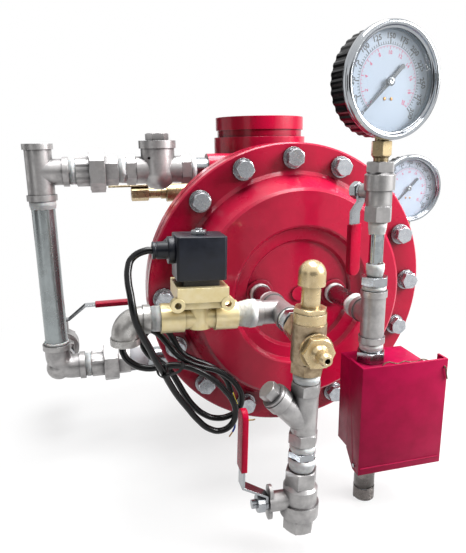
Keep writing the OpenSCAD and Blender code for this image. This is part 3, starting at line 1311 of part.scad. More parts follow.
// Brass drip valve on the left of the outlet neck, with its flat key
module drip_valve() color("goldenrod") up(drip_z) {
    boss = -neck_r - 12;
    difference() {
        union() {
            translate([drip_end, 0, 0]) to_x() nut_hex(2 * drip_r, 22);
            translate([drip_end + 1, 0, 0]) to_x() cylinder(r = drip_r - 1.8, h = boss - drip_end - 2);
            translate([drip_end + 38, 0, 0]) to_x() cylinder(r = drip_r - 0.6, h = 8);
            translate([drip_end + 45, 0, 0]) to_x() cylinder(r = drip_body_r, h = boss - drip_end - 45 - 6);
            translate([boss - 7, 0, 0]) to_x() cylinder(r = quarter_r, h = 7 + quarter_grip);
        }
        translate([drip_end - 1, 0, 0]) to_x() cylinder(r = 3, h = boss - drip_end + quarter_grip + 2);
    }
    translate([drip_end - 28, -5, drip_r + 0.6]) cube([50, 10, 2.2]);
}
module thread_tape() color("white") {
    translate([left_port_x, floor_y - left_tee_reach + half_run + tape_w + tiny, left_port_z]) to_front()
        tape(half_r, tape_w);
    translate([left_port_x, floor_y - 2.2, left_port_z]) to_front() tape(half_r, tape_w);
    translate([left_port_x, tee_y - half_run - tiny, left_port_z]) to_front() tape(half_r, feed_tape - 2 * tiny);
    translate([right_port_x, right_y + half_run + 2 * tape_w + tiny, right_port_z]) to_front()
        tape(half_r, 2 * tape_w);
    translate([right_port_x, floor_y - 2.2, right_port_z]) to_front() tape(half_r, tape_w);
    pilot_frame() {
        up(strainer_top + tiny) tape(half_r, strainer_gap - 2 * tiny);
        up(drain_top + 19 + tiny) tape(half_r, drain_gap - 19 - 2 * tiny);
        up(drain_top + tiny) tape(half_r, 12 - 2 * tiny);
    }
    solenoid_frame() {
        translate([solenoid_right + tiny, 0, 0]) to_x() tape(half_r, solenoid_gap - 2 * tiny);
        translate([solenoid_left - iron_gap + tiny, 0, 0]) to_x() tape(half_r, iron_gap - 2 * tiny);
    }
    translate([right_port_x, right_y, 0]) {
        up(tee_top + tiny) tape(half_r, bushing_gap - 2 * tiny);
        up(bushing_top + tiny) tape(quarter_r, 2 * tape_w);
        up(gauge_valve_low - 2 * tape_w) tape(quarter_r, 2 * tape_w - tiny);
        up(tee_low - 7) tape(half_r, 7 - tiny);
    }
    translate([loop_x, -loop_front, 0]) {
        up(loop_top - tq_run - 1.6 * tape_w) tape(tq_r, 1.6 * tape_w - tiny);
        up(loop_low + tq_run + tiny) tape(tq_r, tape_w / 2);
        for (z = [loop_top, loop_low]) translate([tq_run + tiny, 0, z]) to_x() tape(tq_r, loop_nipple - 2 * tiny);
    }
    translate([check_x - check_nipple + tiny, -loop_front, loop_top]) to_x() tape(tq_r, check_nipple - 2 * tiny);
    translate([check_x + check_len + tiny, -loop_front, loop_top]) to_x() tape(tq_r, tape_w);
}

valve_body();
seat_ring();
diaphragm();
seat_disc();
diaphragm_plate();
cover();
cover_fasteners();
half_tees();
hex_nipples();
bushings();
pilot_body();
pilot_bonnet();
pilot_vent();
pilot_cap();
pilot_poppet();
strainer_body();
strainer_plug();
strainer_screen();
drain_valve_body();
drain_stem();
drain_lever();
drain_sleeve();
solenoid_body();
core_tube();
plunger();
coil();
cable_plug();
cord();
iron_elbow();
gauge_valve_body();
gauge_stem();
gauge_lever();
gauge_sleeve();
gauge_pipes();
gauge_cases();
gauge_bezels();
gauge_lenses();
gauge_dials();
gauge_sockets();
pointer_front();
pointer_rear();
release_box();
release_lid();
hinge_pins();
release_valve_body();
release_lever();
loop_fittings();
loop_pipe();
loop_nipples();
unions();
check_body();
check_cap();
check_flap();
rear_valve_body();
rear_lever();
rear_sleeve();
drip_valve();
thread_tape();
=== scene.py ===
# Deluge valve with its trim: finishes, cord, dial printing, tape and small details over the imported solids.
import bpy
import bmesh
import math
from mathutils import Matrix, Vector


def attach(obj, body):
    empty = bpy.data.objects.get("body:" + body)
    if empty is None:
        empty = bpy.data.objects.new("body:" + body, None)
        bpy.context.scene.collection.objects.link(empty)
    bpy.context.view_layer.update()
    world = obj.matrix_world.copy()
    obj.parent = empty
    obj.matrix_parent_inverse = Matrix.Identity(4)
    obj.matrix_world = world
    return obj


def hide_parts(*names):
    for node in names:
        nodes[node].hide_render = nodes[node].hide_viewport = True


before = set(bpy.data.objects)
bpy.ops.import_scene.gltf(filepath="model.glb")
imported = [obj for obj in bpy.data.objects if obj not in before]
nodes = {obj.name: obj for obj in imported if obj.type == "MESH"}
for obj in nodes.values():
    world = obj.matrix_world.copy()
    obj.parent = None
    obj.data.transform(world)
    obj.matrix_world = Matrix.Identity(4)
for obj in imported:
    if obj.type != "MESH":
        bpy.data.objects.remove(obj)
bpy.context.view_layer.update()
mm = 0.001
print("frame loaded:", len(nodes), "nodes")

# Where the photographer stood; lens and the frame's long side are in mm
photoView = {"place": (-0.2119, -0.686, 0.3613), "azimuth": -14.2, "elevation": 13.9, "roll": -0.8, "lens": 34.05,
             "frame": 36}


# Puts a mesh, curve, camera or lamp into the scene
def putInScene(name, data):
    made = bpy.data.objects.new(name, data)
    bpy.context.scene.collection.objects.link(made)
    return made


def makeCamera(view):
    a, e, r = (math.radians(view[key]) for key in ("azimuth", "elevation", "roll"))
    right = Vector((math.cos(a), math.sin(a), 0))
    back = Vector((math.sin(a) * math.cos(e), -math.cos(a) * math.cos(e), math.sin(e)))
    up = back.cross(right)
    turnedRight = right * math.cos(r) + up * math.sin(r)
    turnedUp = up * math.cos(r) - right * math.sin(r)
    camera = putInScene("photoCamera", bpy.data.cameras.new("photoCamera"))
    camera.matrix_world = Matrix((turnedRight, turnedUp, back)).transposed().to_4x4()
    camera.location = view["place"]
    camera.data.sensor_width = view["frame"]
    camera.data.lens = view["lens"]
    bpy.context.scene.camera = camera


makeCamera(photoView)


# An sRGB hex value as linear light, by the standard curve
def toLinear(hexColour):
    parts = [int(hexColour[i:i + 2], 16) / 255 for i in (1, 3, 5)]
    return [c / 12.92 if c <= 0.04045 else ((c + 0.055) / 1.055) ** 2.4 for c in parts] + [1.0]


# Gives a node its settings and its links; a link comes from a socket, or from a node's first output
def setNode(tree, node, values, links=None):
    for key, value in (values or {}).items():
        if isinstance(key, int) or key in node.inputs:
            node.inputs[key].default_value = value
        else:
            setattr(node, key, value)
    for key, source in (links or {}).items():
        tree.links.new(node.inputs[key], source.outputs[0] if isinstance(source, bpy.types.Node) else source)
    return node


# Adds a node to any tree, with its settings and its links
def addNode(tree, kind, values=None, links=None):
    return setNode(tree, tree.nodes.new(kind), values, links)


def newMaterial(name):
    material = bpy.data.materials.new(name)
    material.use_nodes = True
    return material, material.node_tree, material.node_tree.nodes["Principled BSDF"]


# Shared by all finishes: how the two noises break up, and where the lighter corners (wear and painted highlight),
# blotches, the darker recesses (dirt and painted shade) and gloss begin and end
finishRules = {
    "grainNoise": {"Detail": 3.0, "Roughness": 0.55}, "mottleNoise": {"Detail": 4.0, "Roughness": 0.6},
    "wearAndHighlight": {"From Min": 0.995, "From Max": 0.90}, "blotch": {"From Min": 0.38, "From Max": 0.64},
    "dirtAndShade": {"From Min": 0.95, "From Max": 0.35}, "gloss": {"From Min": 0.35, "From Max": 0.68},
    "cornerSamples": 4, "dirtAndShadeSamples": 6, "coatRough": 0.10, "softRadius": (1.0, 0.4, 0.3), "softScale": 0.002,
}

# Two colours that blotch into each other. Grain is its size and its height, mottle and edge are sizes, all in
# millimetres on the object. The wear colour is the lighter colour on corners and its share: partly wear, partly a
# painted highlight along the edges. The grime colour darkens recesses, its share and how far it reaches in mm:
# partly dirt, partly painted shade in hollows and where parts meet.
finishes = {
    # gloss enamel sprayed over sand-cast iron: orange peel over a faint casting grain; lighter on the corners, partly
    # thin enamel and partly a painted highlight, and darkened by painted shade in its recesses
    "redPaint": dict(colours=("#BE0E3A", "#B00A34"), rough=(0.24, 0.38), specular=0.22, grain=(2.0, 0.13),
                     mottle=34, edge=0.9, wearAndHighlight=("#E8486C", 0.7), grimeAndShade=("#40060F", 0.9, 34), coat=0.30),
    # the release box: the same enamel on folded sheet, pinker and flatter
    "boxPaint": dict(colours=("#A60840", "#960638"), rough=(0.30, 0.42), specular=0.14, grain=(0.9, 0.02),
                     mottle=22, edge=0.5, wearAndHighlight=("#D8205C", 0.6), grimeAndShade=("#4E061E", 0.5, 14)),
    # investment-cast stainless, bead blasted: mid grey, fine even pits, painted shade in the corners
    "castStainless": dict(colours=("#BAB8B7", "#A19F9F"), metallic=0.7, rough=(0.30, 0.46), grain=(0.9, 0.09),
                          mottle=11, edge=0.5, wearAndHighlight=("#DADADC", 0.45), grimeAndShade=("#302E31", 0.95, 12)),
    # turned bar: smoother and glossier than the castings
    "turnedStainless": dict(colours=("#AEB1B4", "#A2A5A9"), metallic=1.0, rough=(0.20, 0.30), grain=(0.9, 0.008),
                            mottle=12, edge=0.4, wearAndHighlight=("#E2E2E4", 0.5), grimeAndShade=("#48464A", 0.6, 7)),
    # threaded steel pipe: smooth, drawn, greener and darker than the castings
    "steelPipe": dict(colours=("#A2A9AA", "#999FA0"), metallic=0.8, rough=(0.22, 0.30), grain=(1.0, 0.008),
                      mottle=16, edge=0.4, wearAndHighlight=("#C2C6C8", 0.4), grimeAndShade=("#3C3A3C", 0.7, 10)),
    # the release outlet: plain steel, its colour darkened as painted shade for its place under the box
    "shadeDarkSteel": dict(colours=("#8A8380", "#706A67"), metallic=0.85, rough=(0.26, 0.40), grain=(1.0, 0.02),
                      mottle=7, edge=0.4, wearAndHighlight=("#A8A29E", 0.6), grimeAndShade=("#2A2624", 0.8, 6)),
    # zinc plate on pressed steel: a bluish silver, brighter on the corners, partly wear and partly a painted
    # highlight
    "zincPlate": dict(colours=("#C2C6CA", "#ACB0B6"), metallic=0.85, rough=(0.22, 0.34), grain=(1.1, 0.02),
                      mottle=5, edge=0.5, wearAndHighlight=("#EDEFF1", 0.6), grimeAndShade=("#4A2026", 0.6, 6)),
    # forged and machined brass, pale and bead blasted
    "forgedBrass": dict(colours=("#F0E0B4", "#EAD8A2"), metallic=0.6, rough=(0.28, 0.42), grain=(0.6, 0.04),
                        mottle=8, edge=0.5, wearAndHighlight=("#F3E8BE", 0.8), grimeAndShade=("#5A4A26", 0.7, 8)),
    # bright turned brass, yellower
    "turnedBrass": dict(colours=("#DCC79E", "#CEB78C"), metallic=0.7, rough=(0.22, 0.34), grain=(0.8, 0.015),
                        mottle=10, edge=0.5, wearAndHighlight=("#F8EDCC", 0.8), grimeAndShade=("#46341E", 0.8, 7)),
    # older brass with a brown skin
    "agedBrass": dict(colours=("#B6A286", "#8E7A60"), metallic=0.75, rough=(0.28, 0.44), grain=(0.6, 0.03),
                      mottle=6, edge=0.6, wearAndHighlight=("#CDB68A", 0.8), grimeAndShade=("#33281A", 0.7, 8)),
    # moulded gauge case: glossy black, its rib edges painted a little lighter as a highlight, so the ribs show as
    # bright lines
    "caseBlack": dict(colours=("#060608", "#0A0A0D"), rough=(0.12, 0.18), specular=0.14, grain=(0.8, 0.004),
                      mottle=18, edge=0.3, wearAndHighlight=("#1C1D21", 0.3)),
    # moulded rubber and cord jacket: near black, smooth and fairly glossy
    "blackRubber": dict(colours=("#060608", "#0A0B0D"), rough=(0.16, 0.28), specular=0.32, grain=(0.6, 0.01),
                        mottle=12, edge=0.3, wearAndHighlight=("#17191D", 0.3)),
    # glass-filled nylon of coil and plug: blue-black, matt, faint fibre grain
    "mouldedNylon": dict(colours=("#12151E", "#181C27"), rough=(0.30, 0.44), specular=0.4, grain=(0.4, 0.02),
                         mottle=14, edge=0.5, wearAndHighlight=("#2E3340", 0.6)),
    # malleable iron, worn bright on the bend, with a cast grain
    "blackIron": dict(colours=("#C4C2BF", "#9A9794"), metallic=0.65, rough=(0.26, 0.46), grain=(1.2, 0.09),
                      mottle=10, edge=0.8, wearAndHighlight=("#B9B6B0", 0.7), grimeAndShade=("#24221F", 0.8, 10)),
    # rolled bezel: polished, with faint turning
    "polishedSteel": dict(colours=("#B6BABE", "#A8ACB1"), metallic=1.0, rough=(0.10, 0.18), grain=(1.5, 0.004),
                          mottle=20, edge=0.4, wearAndHighlight=("#F2F3F4", 0.4), grimeAndShade=("#3A3C40", 0.5, 4)),
    # printed dial: cool white enamel on aluminium
    "dialEnamel": dict(colours=("#B3C1D2", "#AEBCCE"), rough=(0.38, 0.46), specular=0.3, grain=(0.6, 0.003),
                       mottle=20, edge=0.1, wearAndHighlight=("#BFCDDE", 0.0)),
    # stove enamel on the pointer, blue-grey
    "pointerEnamel": dict(colours=("#26323E", "#202B36"), rough=(0.34, 0.44), specular=0.4, grain=(0.5, 0.004),
                          mottle=10, edge=0.2, wearAndHighlight=("#4E5D6A", 0.4)),
    # dipped vinyl grip: satin, with a little light inside it
    "dippedVinyl": dict(colours=("#BA0A35", "#AC0830"), rough=(0.24, 0.34), specular=0.10, grain=(5.0, 0.06),
                        mottle=22, edge=0.8, wearAndHighlight=("#EE4468", 0.5), soft=0.10),
    # thread tape: dull white film, with painted shade in its folds
    "threadTape": dict(colours=("#F8F7F6", "#ECEBEA"), rough=(0.50, 0.62), specular=0.3, grain=(0.7, 0.10),
                       mottle=4, edge=0.2, wearAndHighlight=("#F7F7F5", 0.4), grimeAndShade=("#9A9896", 0.5, 2), soft=0.15),
    # sheet of paper round the pipe: bright, soft, a little creased
    "whitePaper": dict(colours=("#E9EBEF", "#DDE0E6"), rough=(0.62, 0.74), specular=0.2, grain=(3.0, 0.25),
                       mottle=14, edge=0.1, wearAndHighlight=("#F2F3F5", 0.2), grimeAndShade=("#A3A6AC", 0.5, 5)),
    # blue-grey inside the gauge case: a painted shade and reflection on its inner wall
    "wellShadeBlue": dict(colours=("#54697A", "#4C6070"), rough=(0.30, 0.42), grain=(1.0, 0.004), mottle=12, edge=0.1,
                       wearAndHighlight=("#4A5C6C", 0.2)),
}


def setFinish(name, f, rules):
    material, tree, shader = newMaterial(name)
    place = addNode(tree, "ShaderNodeTexCoord").outputs["Object"]
    grainSize, grainHeight = f["grain"]
    grain = addNode(tree, "ShaderNodeTexNoise", {**rules["grainNoise"], "Scale": 1 / (grainSize * mm)},
                    {"Vector": place})
    mottle = addNode(tree, "ShaderNodeTexNoise", {**rules["mottleNoise"], "Scale": 1 / (f["mottle"] * mm)},
                     {"Vector": place})
    # soft corner: the normal turns round the edge over a real radius
    rounded = addNode(tree, "ShaderNodeBevel", {"samples": rules["cornerSamples"], "Radius": f["edge"] * mm})
    flat = addNode(tree, "ShaderNodeNewGeometry")
    turned = addNode(tree, "ShaderNodeVectorMath", {"operation": "DOT_PRODUCT"},
                     {0: rounded, 1: flat.outputs["Normal"]})
    # lighter colour on the corners: partly wear, partly a painted highlight along the edges
    wearAndHighlight, edgeShare = f["wearAndHighlight"]
    onEdge = addNode(tree, "ShaderNodeMapRange", {**rules["wearAndHighlight"], "To Max": edgeShare},
                     {"Value": turned.outputs["Value"]})
    blotch = addNode(tree, "ShaderNodeMapRange", rules["blotch"], {"Value": mottle})
    first, second = (toLinear(colour) for colour in f["colours"])
    colour = addNode(tree, "ShaderNodeMix", {"data_type": "RGBA", 6: first, 7: second}, {0: blotch})
    colour = addNode(tree, "ShaderNodeMix", {"data_type": "RGBA", 7: toLinear(wearAndHighlight)},
                     {0: onEdge, 6: colour.outputs[2]})
    # painted shade: ambient occlusion darkens the colour in recesses and where parts meet, with some dirt too
    if "grimeAndShade" in f:  # darker where two surfaces meet: dirt and painted shade
        grimeAndShade, darkShare, reach = f["grimeAndShade"]
        clear = addNode(tree, "ShaderNodeAmbientOcclusion", {"samples": rules["dirtAndShadeSamples"], "Distance": reach * mm})
        dirtAndShade = addNode(tree, "ShaderNodeMapRange", {**rules["dirtAndShade"], "To Max": darkShare}, {"Value": clear.outputs["AO"]})
        colour = addNode(tree, "ShaderNodeMix", {"data_type": "RGBA", 7: toLinear(grimeAndShade)},
                         {0: dirtAndShade, 6: colour.outputs[2]})
    sheen = addNode(tree, "ShaderNodeMapRange", {**rules["gloss"], "To Min": f["rough"][0], "To Max": f["rough"][1]},
                    {"Value": mottle})
    bump = addNode(tree, "ShaderNodeBump", {"Strength": 1.0, "Distance": grainHeight * mm},
                   {"Height": grain, "Normal": rounded})
    setNode(tree, shader, {
        "Metallic": f.get("metallic", 0.0), "Specular IOR Level": f.get("specular", 0.5),
        "Coat Weight": f.get("coat", 0.0), "Coat Roughness": rules["coatRough"],
        "Subsurface Weight": f.get("soft", 0.0), "Subsurface Radius": rules["softRadius"],
        "Subsurface Scale": rules["softScale"],
    }, {"Base Color": colour.outputs[2], "Roughness": sheen, "Normal": bump})
    return material


materials = {name: setFinish(name, f, finishRules) for name, f in finishes.items()}

# Hot-dip zinc: flat crystals about 6 mm across, each with its own grey and gloss
spangle = {"crystal": 6.0, "cloud": 22.0, "light": "#AEB4B6", "dark": "#989EA1", "dull": "#7E8284",
           "rough": (0.12, 0.22), "edge": 0.4, "depth": 0.06, "cloudDetail": 4.0,
           "streaks": {"From Min": 0.45, "From Max": 0.75, "To Max": 0.5}}


def makeSpangle(values):
    material, tree, shader = newMaterial("galvanisedZinc")
    place = addNode(tree, "ShaderNodeTexCoord").outputs["Object"]
    crystals = addNode(tree, "ShaderNodeTexVoronoi", {"Scale": 1 / (values["crystal"] * mm), "Randomness": 1.0},
                       {"Vector": place})
    clouds = addNode(tree, "ShaderNodeTexNoise", {"Scale": 1 / (values["cloud"] * mm),
                                                  "Detail": values["cloudDetail"]}, {"Vector": place})
    shade = addNode(tree, "ShaderNodeSeparateColor", {}, {0: crystals.outputs["Color"]})
    grey = addNode(tree, "ShaderNodeMix", {"data_type": "RGBA", 6: toLinear(values["dark"]),
                                           7: toLinear(values["light"])}, {0: shade})
    streak = addNode(tree, "ShaderNodeMapRange", values["streaks"], {"Value": clouds})
    dull = addNode(tree, "ShaderNodeMix", {"data_type": "RGBA", 7: toLinear(values["dull"])},
                   {0: streak, 6: grey.outputs[2]})
    gloss = addNode(tree, "ShaderNodeMapRange", {"To Min": values["rough"][0], "To Max": values["rough"][1]},
                    {"Value": shade.outputs[1]})
    rounded = addNode(tree, "ShaderNodeBevel", {"samples": finishRules["cornerSamples"],
                                                "Radius": values["edge"] * mm})
    bump = addNode(tree, "ShaderNodeBump", {"Distance": values["depth"] * mm}, {"Height": clouds, "Normal": rounded})
    setNode(tree, shader, {"Metallic": 1.0}, {"Base Color": dull.outputs[2], "Roughness": gloss, "Normal": bump})
    return material


# Clear glass window: light passes, only its gloss shows
glassValues = {"Base Color": toLinear("#E8F0F4"), "Roughness": 0.03, "Alpha": 0.08}


def makeGlass(values):
    material, tree, shader = newMaterial("windowGlass")
    setNode(tree, shader, values)
    return material


# Inks, wire insulation, bare copper and the like: thin or tiny, with a fine speckle in their gloss.
# Each row is its colour, metallic and roughness.
fineValues = {"speckle": {"Scale": 900.0, "Detail": 2.0}, "spread": 0.08}
fineFinishes = {
    "blackInk": ("#0C0F1C",), "redInk": ("#C23A6C",), "blueWire": ("#1E3FA8",), "yellowWire": ("#D6C832",),
    "bareCopper": ("#A88456", 1.0, 0.35), "screwBrass": ("#9C6C34", 1.0, 0.35), "sealWire": ("#6E6252", 1.0, 0.4),
    "blackNylon": ("#0C0D10", 0.0, 0.35),
}


def makeFine(name, colour, metallic=0.0, roughness=0.5):
    material, tree, shader = newMaterial(name)
    place = addNode(tree, "ShaderNodeTexCoord").outputs["Object"]
    speck = addNode(tree, "ShaderNodeTexNoise", fineValues["speckle"], {"Vector": place})
    spread = addNode(tree, "ShaderNodeMapRange", {"To Min": roughness - fineValues["spread"],
                                                  "To Max": roughness + fineValues["spread"]},
                     {"Value": speck})
    setNode(tree, shader, {"Base Color": toLinear(colour), "Metallic": metallic}, {"Roughness": spread})
    return material


materials["galvanisedZinc"] = makeSpangle(spangle)
materials["windowGlass"] = makeGlass(glassValues)
for name, row in fineFinishes.items():
    materials[name] = makeFine(name, *row)

nodeFinish = {
    "redPaint": "valve_body cover",
    "boxPaint": "release_box release_lid",
    "castStainless": "half_tees strainer_body strainer_plug drain_valve_body gauge_valve_body loop_fittings unions "
                     "check_body check_cap rear_valve_body release_valve_body check_flap",
    "turnedStainless": "hex_nipples bushings drain_stem gauge_stem drain_lever gauge_lever rear_lever release_lever "
                       "strainer_screen diaphragm_plate core_tube plunger loop_nipples",
    "steelPipe": "loop_pipe",
    "zincPlate": "cover_fasteners hinge_pins",
    "forgedBrass": "solenoid_body seat_ring",
    "turnedBrass": "gauge_sockets pilot_bonnet pilot_cap pilot_vent drip_valve",
    "agedBrass": "pilot_body pilot_poppet",
    "blackRubber": "diaphragm seat_disc",
    "caseBlack": "gauge_cases",
    "mouldedNylon": "coil cable_plug",
    "blackIron": "iron_elbow",
    "polishedSteel": "gauge_bezels",
    "windowGlass": "gauge_lenses",
    "dialEnamel": "gauge_dials",
    "pointerEnamel": "pointer_front pointer_rear",
    "dippedVinyl": "drain_sleeve gauge_sleeve rear_sleeve",
    "threadTape": "thread_tape",
    "galvanisedZinc": "gauge_pipes",
}
for finish, names in nodeFinish.items():
    for name in names.split():
        for slot in nodes[name].material_slots:
            slot.material = materials[finish]
print("materials on the CAD nodes")

# Distances in metres within which vertices are merged, on made pieces and on CAD meshes
weld = {"made": 1e-7, "cad": 1e-6}
# Corners of a square, in order round it
squareCorners = ((-1, -1), (1, -1), (1, 1), (-1, 1))


# A mesh as a piece: closed, turned outwards, with its finish, riding on a body
def finishPiece(name, mesh, material, body, smooth=True):
    work = bmesh.new()
    work.from_mesh(mesh)
    bmesh.ops.remove_doubles(work, verts=work.verts, dist=weld["made"])
    bmesh.ops.recalc_face_normals(work, faces=work.faces)
    work.to_mesh(mesh)
    work.free()
    paint(mesh, material, smooth)
    made = putInScene(name, mesh)
    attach(made, body)
    return made


def paint(mesh, material, smooth):
    mesh.materials.clear()
    mesh.materials.append(materials[material])
    for polygon in mesh.polygons:
        polygon.use_smooth = smooth
        polygon.material_index = 0


def newMesh(name, vertices, faces, edges=()):
    mesh = bpy.data.meshes.new(name)
    mesh.from_pydata(vertices, edges, faces)
    return mesh


def evaluated(holder):
    return bpy.data.meshes.new_from_object(holder.evaluated_get(bpy.context.evaluated_depsgraph_get()))


def placed(mesh, matrix):
    mesh.transform(matrix)
    return mesh


# Turns what stands on Z onto another axis
def ontoAxis(axis):
    return Vector(axis).to_track_quat("Z", "X").to_matrix().to_4x4()


def joinMeshes(name, meshes):
    work = bmesh.new()
    for mesh in meshes:
        work.from_mesh(mesh)
    joined = bpy.data.meshes.new(name)
    work.to_mesh(joined)
    work.free()
    return joined


# A closed profile of (radius, height) turned round the frame's Z
def turnedMesh(profile, matrix, steps):
    vertices, faces = [], []
    for k in range(steps):
        angle = 2 * math.pi * k / steps
        for r, z in profile:
            vertices.append(matrix @ Vector((r * math.cos(angle), r * math.sin(angle), z)))
    count = len(profile)
    for k in range(steps):
        n = (k + 1) % steps
        for i in range(count):
            j = (i + 1) % count
            faces.append((k * count + i, n * count + i, n * count + j, k * count + j))
    return newMesh("turned", vertices, faces)


# Runs a tree on a path, or on nothing, and hands back the plain mesh that it makes
def grow(tree, values, path=()):
    holder = putInScene("grower", newMesh("grower", path, [], [(i, i + 1) for i in range(len(path) - 1)]))
    modifier = holder.modifiers.new("grow", "NODES")
    modifier.node_group = tree
    for item in tree.interface.items_tree:
        if item.in_out == "INPUT" and item.name in values:
            modifier[item.identifier] = values[item.name]
    mesh = evaluated(holder)
    holder.modifiers.remove(modifier)
    bpy.data.objects.remove(holder)
    return mesh


# Empty tree with named inputs and a geometry output
def newTree(name, inputs, takesPath=False):
    tree = bpy.data.node_groups.new(name, "GeometryNodeTree")
    if takesPath:
        tree.interface.new_socket("Geometry", in_out="INPUT", socket_type="NodeSocketGeometry")
    for label, value in inputs.items():
        kind = "Material" if value is None else "Int" if isinstance(value, int) else "Float"
        socket = tree.interface.new_socket(label, in_out="INPUT", socket_type="NodeSocket" + kind)
        if value is not None:
            socket.default_value = value
    tree.interface.new_socket("Geometry", in_out="OUTPUT", socket_type="NodeSocketGeometry")
    return tree, addNode(tree, "NodeGroupInput").outputs, addNode(tree, "NodeGroupOutput")


def closeTree(tree, given, out, geometry, smooth=True):
    shaded = addNode(tree, "GeometryNodeSetShadeSmooth", {"Shade Smooth": smooth}, {"Geometry": geometry})
    real = addNode(tree, "GeometryNodeRealizeInstances", {}, {0: shaded})
    painted = addNode(tree, "GeometryNodeSetMaterial", {}, {"Geometry": real, "Material": given["Finish"]})
    setNode(tree, out, {}, {0: painted})
    return tree


# Round wire along the path it is given
def wireTree():
    tree, given, out = newTree("wireAlongPath", {"Radius": 0.001, "Sides": 10, "Finish": None}, True)
    curve = addNode(tree, "GeometryNodeMeshToCurve", {}, {0: given["Geometry"]})
    ring = addNode(tree, "GeometryNodeCurvePrimitiveCircle", {},
                   {"Resolution": given["Sides"], "Radius": given["Radius"]})
    tube = addNode(tree, "GeometryNodeCurveToMesh", {"Fill Caps": True}, {"Curve": curve, "Profile Curve": ring})
    return closeTree(tree, given, out, tube)


# Band wound round Z: thread tape in loose turns, or a screw thread. Flutter ruffles its edges.
def windingTree():
    tree, given, out = newTree("winding", {
        "Start Radius": 0.010, "End Radius": 0.0105, "Height": 0.006, "Turns": 4.0, "Base": 0.004, "Crest": 0.004,
        "Thickness": 0.0004, "Flutter": 0.0004, "Grain": 0.003, "Seed": 1, "Steps": 40, "Finish": None})
    spiral = addNode(tree, "GeometryNodeCurveSpiral", {}, {
        "Resolution": given["Steps"], "Rotations": given["Turns"], "Height": given["Height"],
        "Start Radius": given["Start Radius"], "End Radius": given["End Radius"]})
    upright = addNode(tree, "GeometryNodeSetCurveNormal", {"mode": "Z_UP"}, {0: spiral})
    # profile: x runs outwards, y along the pipe
    band = addNode(tree, "GeometryNodeCurvePrimitiveQuadrilateral", {"mode": "TRAPEZOID", "Offset": 0.0}, {
        "Bottom Width": given["Base"], "Top Width": given["Crest"], "Height": given["Thickness"]})
    section = addNode(tree, "GeometryNodeTransform", {"Rotation": (0, 0, -math.pi / 2)}, {0: band})
    tube = addNode(tree, "GeometryNodeCurveToMesh", {"Fill Caps": True},
                   {"Curve": upright, "Profile Curve": section})
    # the noise lies about a half, so that is taken off before it moves anything
    spot = addNode(tree, "GeometryNodeInputPosition")
    fineness = addNode(tree, "ShaderNodeMath", {"operation": "DIVIDE", 0: 1.0}, {1: given["Grain"]})
    noise = addNode(tree, "ShaderNodeTexNoise", {"noise_dimensions": "4D", "Detail": 2.0},
                    {"Vector": spot, "W": given["Seed"], "Scale": fineness})
    centred = addNode(tree, "ShaderNodeVectorMath", {"operation": "SUBTRACT", 1: (0.5, 0.5, 0.5)},
                      {0: noise.outputs["Color"]})
    sized = addNode(tree, "ShaderNodeVectorMath", {"operation": "SCALE"}, {0: centred, "Scale": given["Flutter"]})
    moved = addNode(tree, "GeometryNodeSetPosition", {}, {"Geometry": tube, "Offset": sized})
    return closeTree(tree, given, out, moved)


wires, winding = wireTree(), windingTree()


def wirePiece(name, points, radius, material, body, sides=10):
    mesh = grow(wires, {"Radius": radius * mm, "Sides": sides, "Finish": materials[material]},
                [Vector(p) * mm for p in points])
    return finishPiece(name, mesh, material, body)


# Smooth line through points, with as many steps between each pair as asked
def throughPoints(points, steps):
    points = [Vector(p) for p in points]
    out = []
    for i in range(len(points) - 1):
        p0, p1 = points[max(i - 1, 0)], points[i]
        p2, p3 = points[i + 1], points[min(i + 2, len(points) - 1)]
        for s in range(steps):
            t = s / steps
            out.append(0.5 * (2 * p1 + (p2 - p0) * t + (2 * p0 - 5 * p1 + 4 * p2 - p3) * t * t
                              + (3 * p1 - p0 - 3 * p2 + p3) * t ** 3))
    return out + [points[-1]]


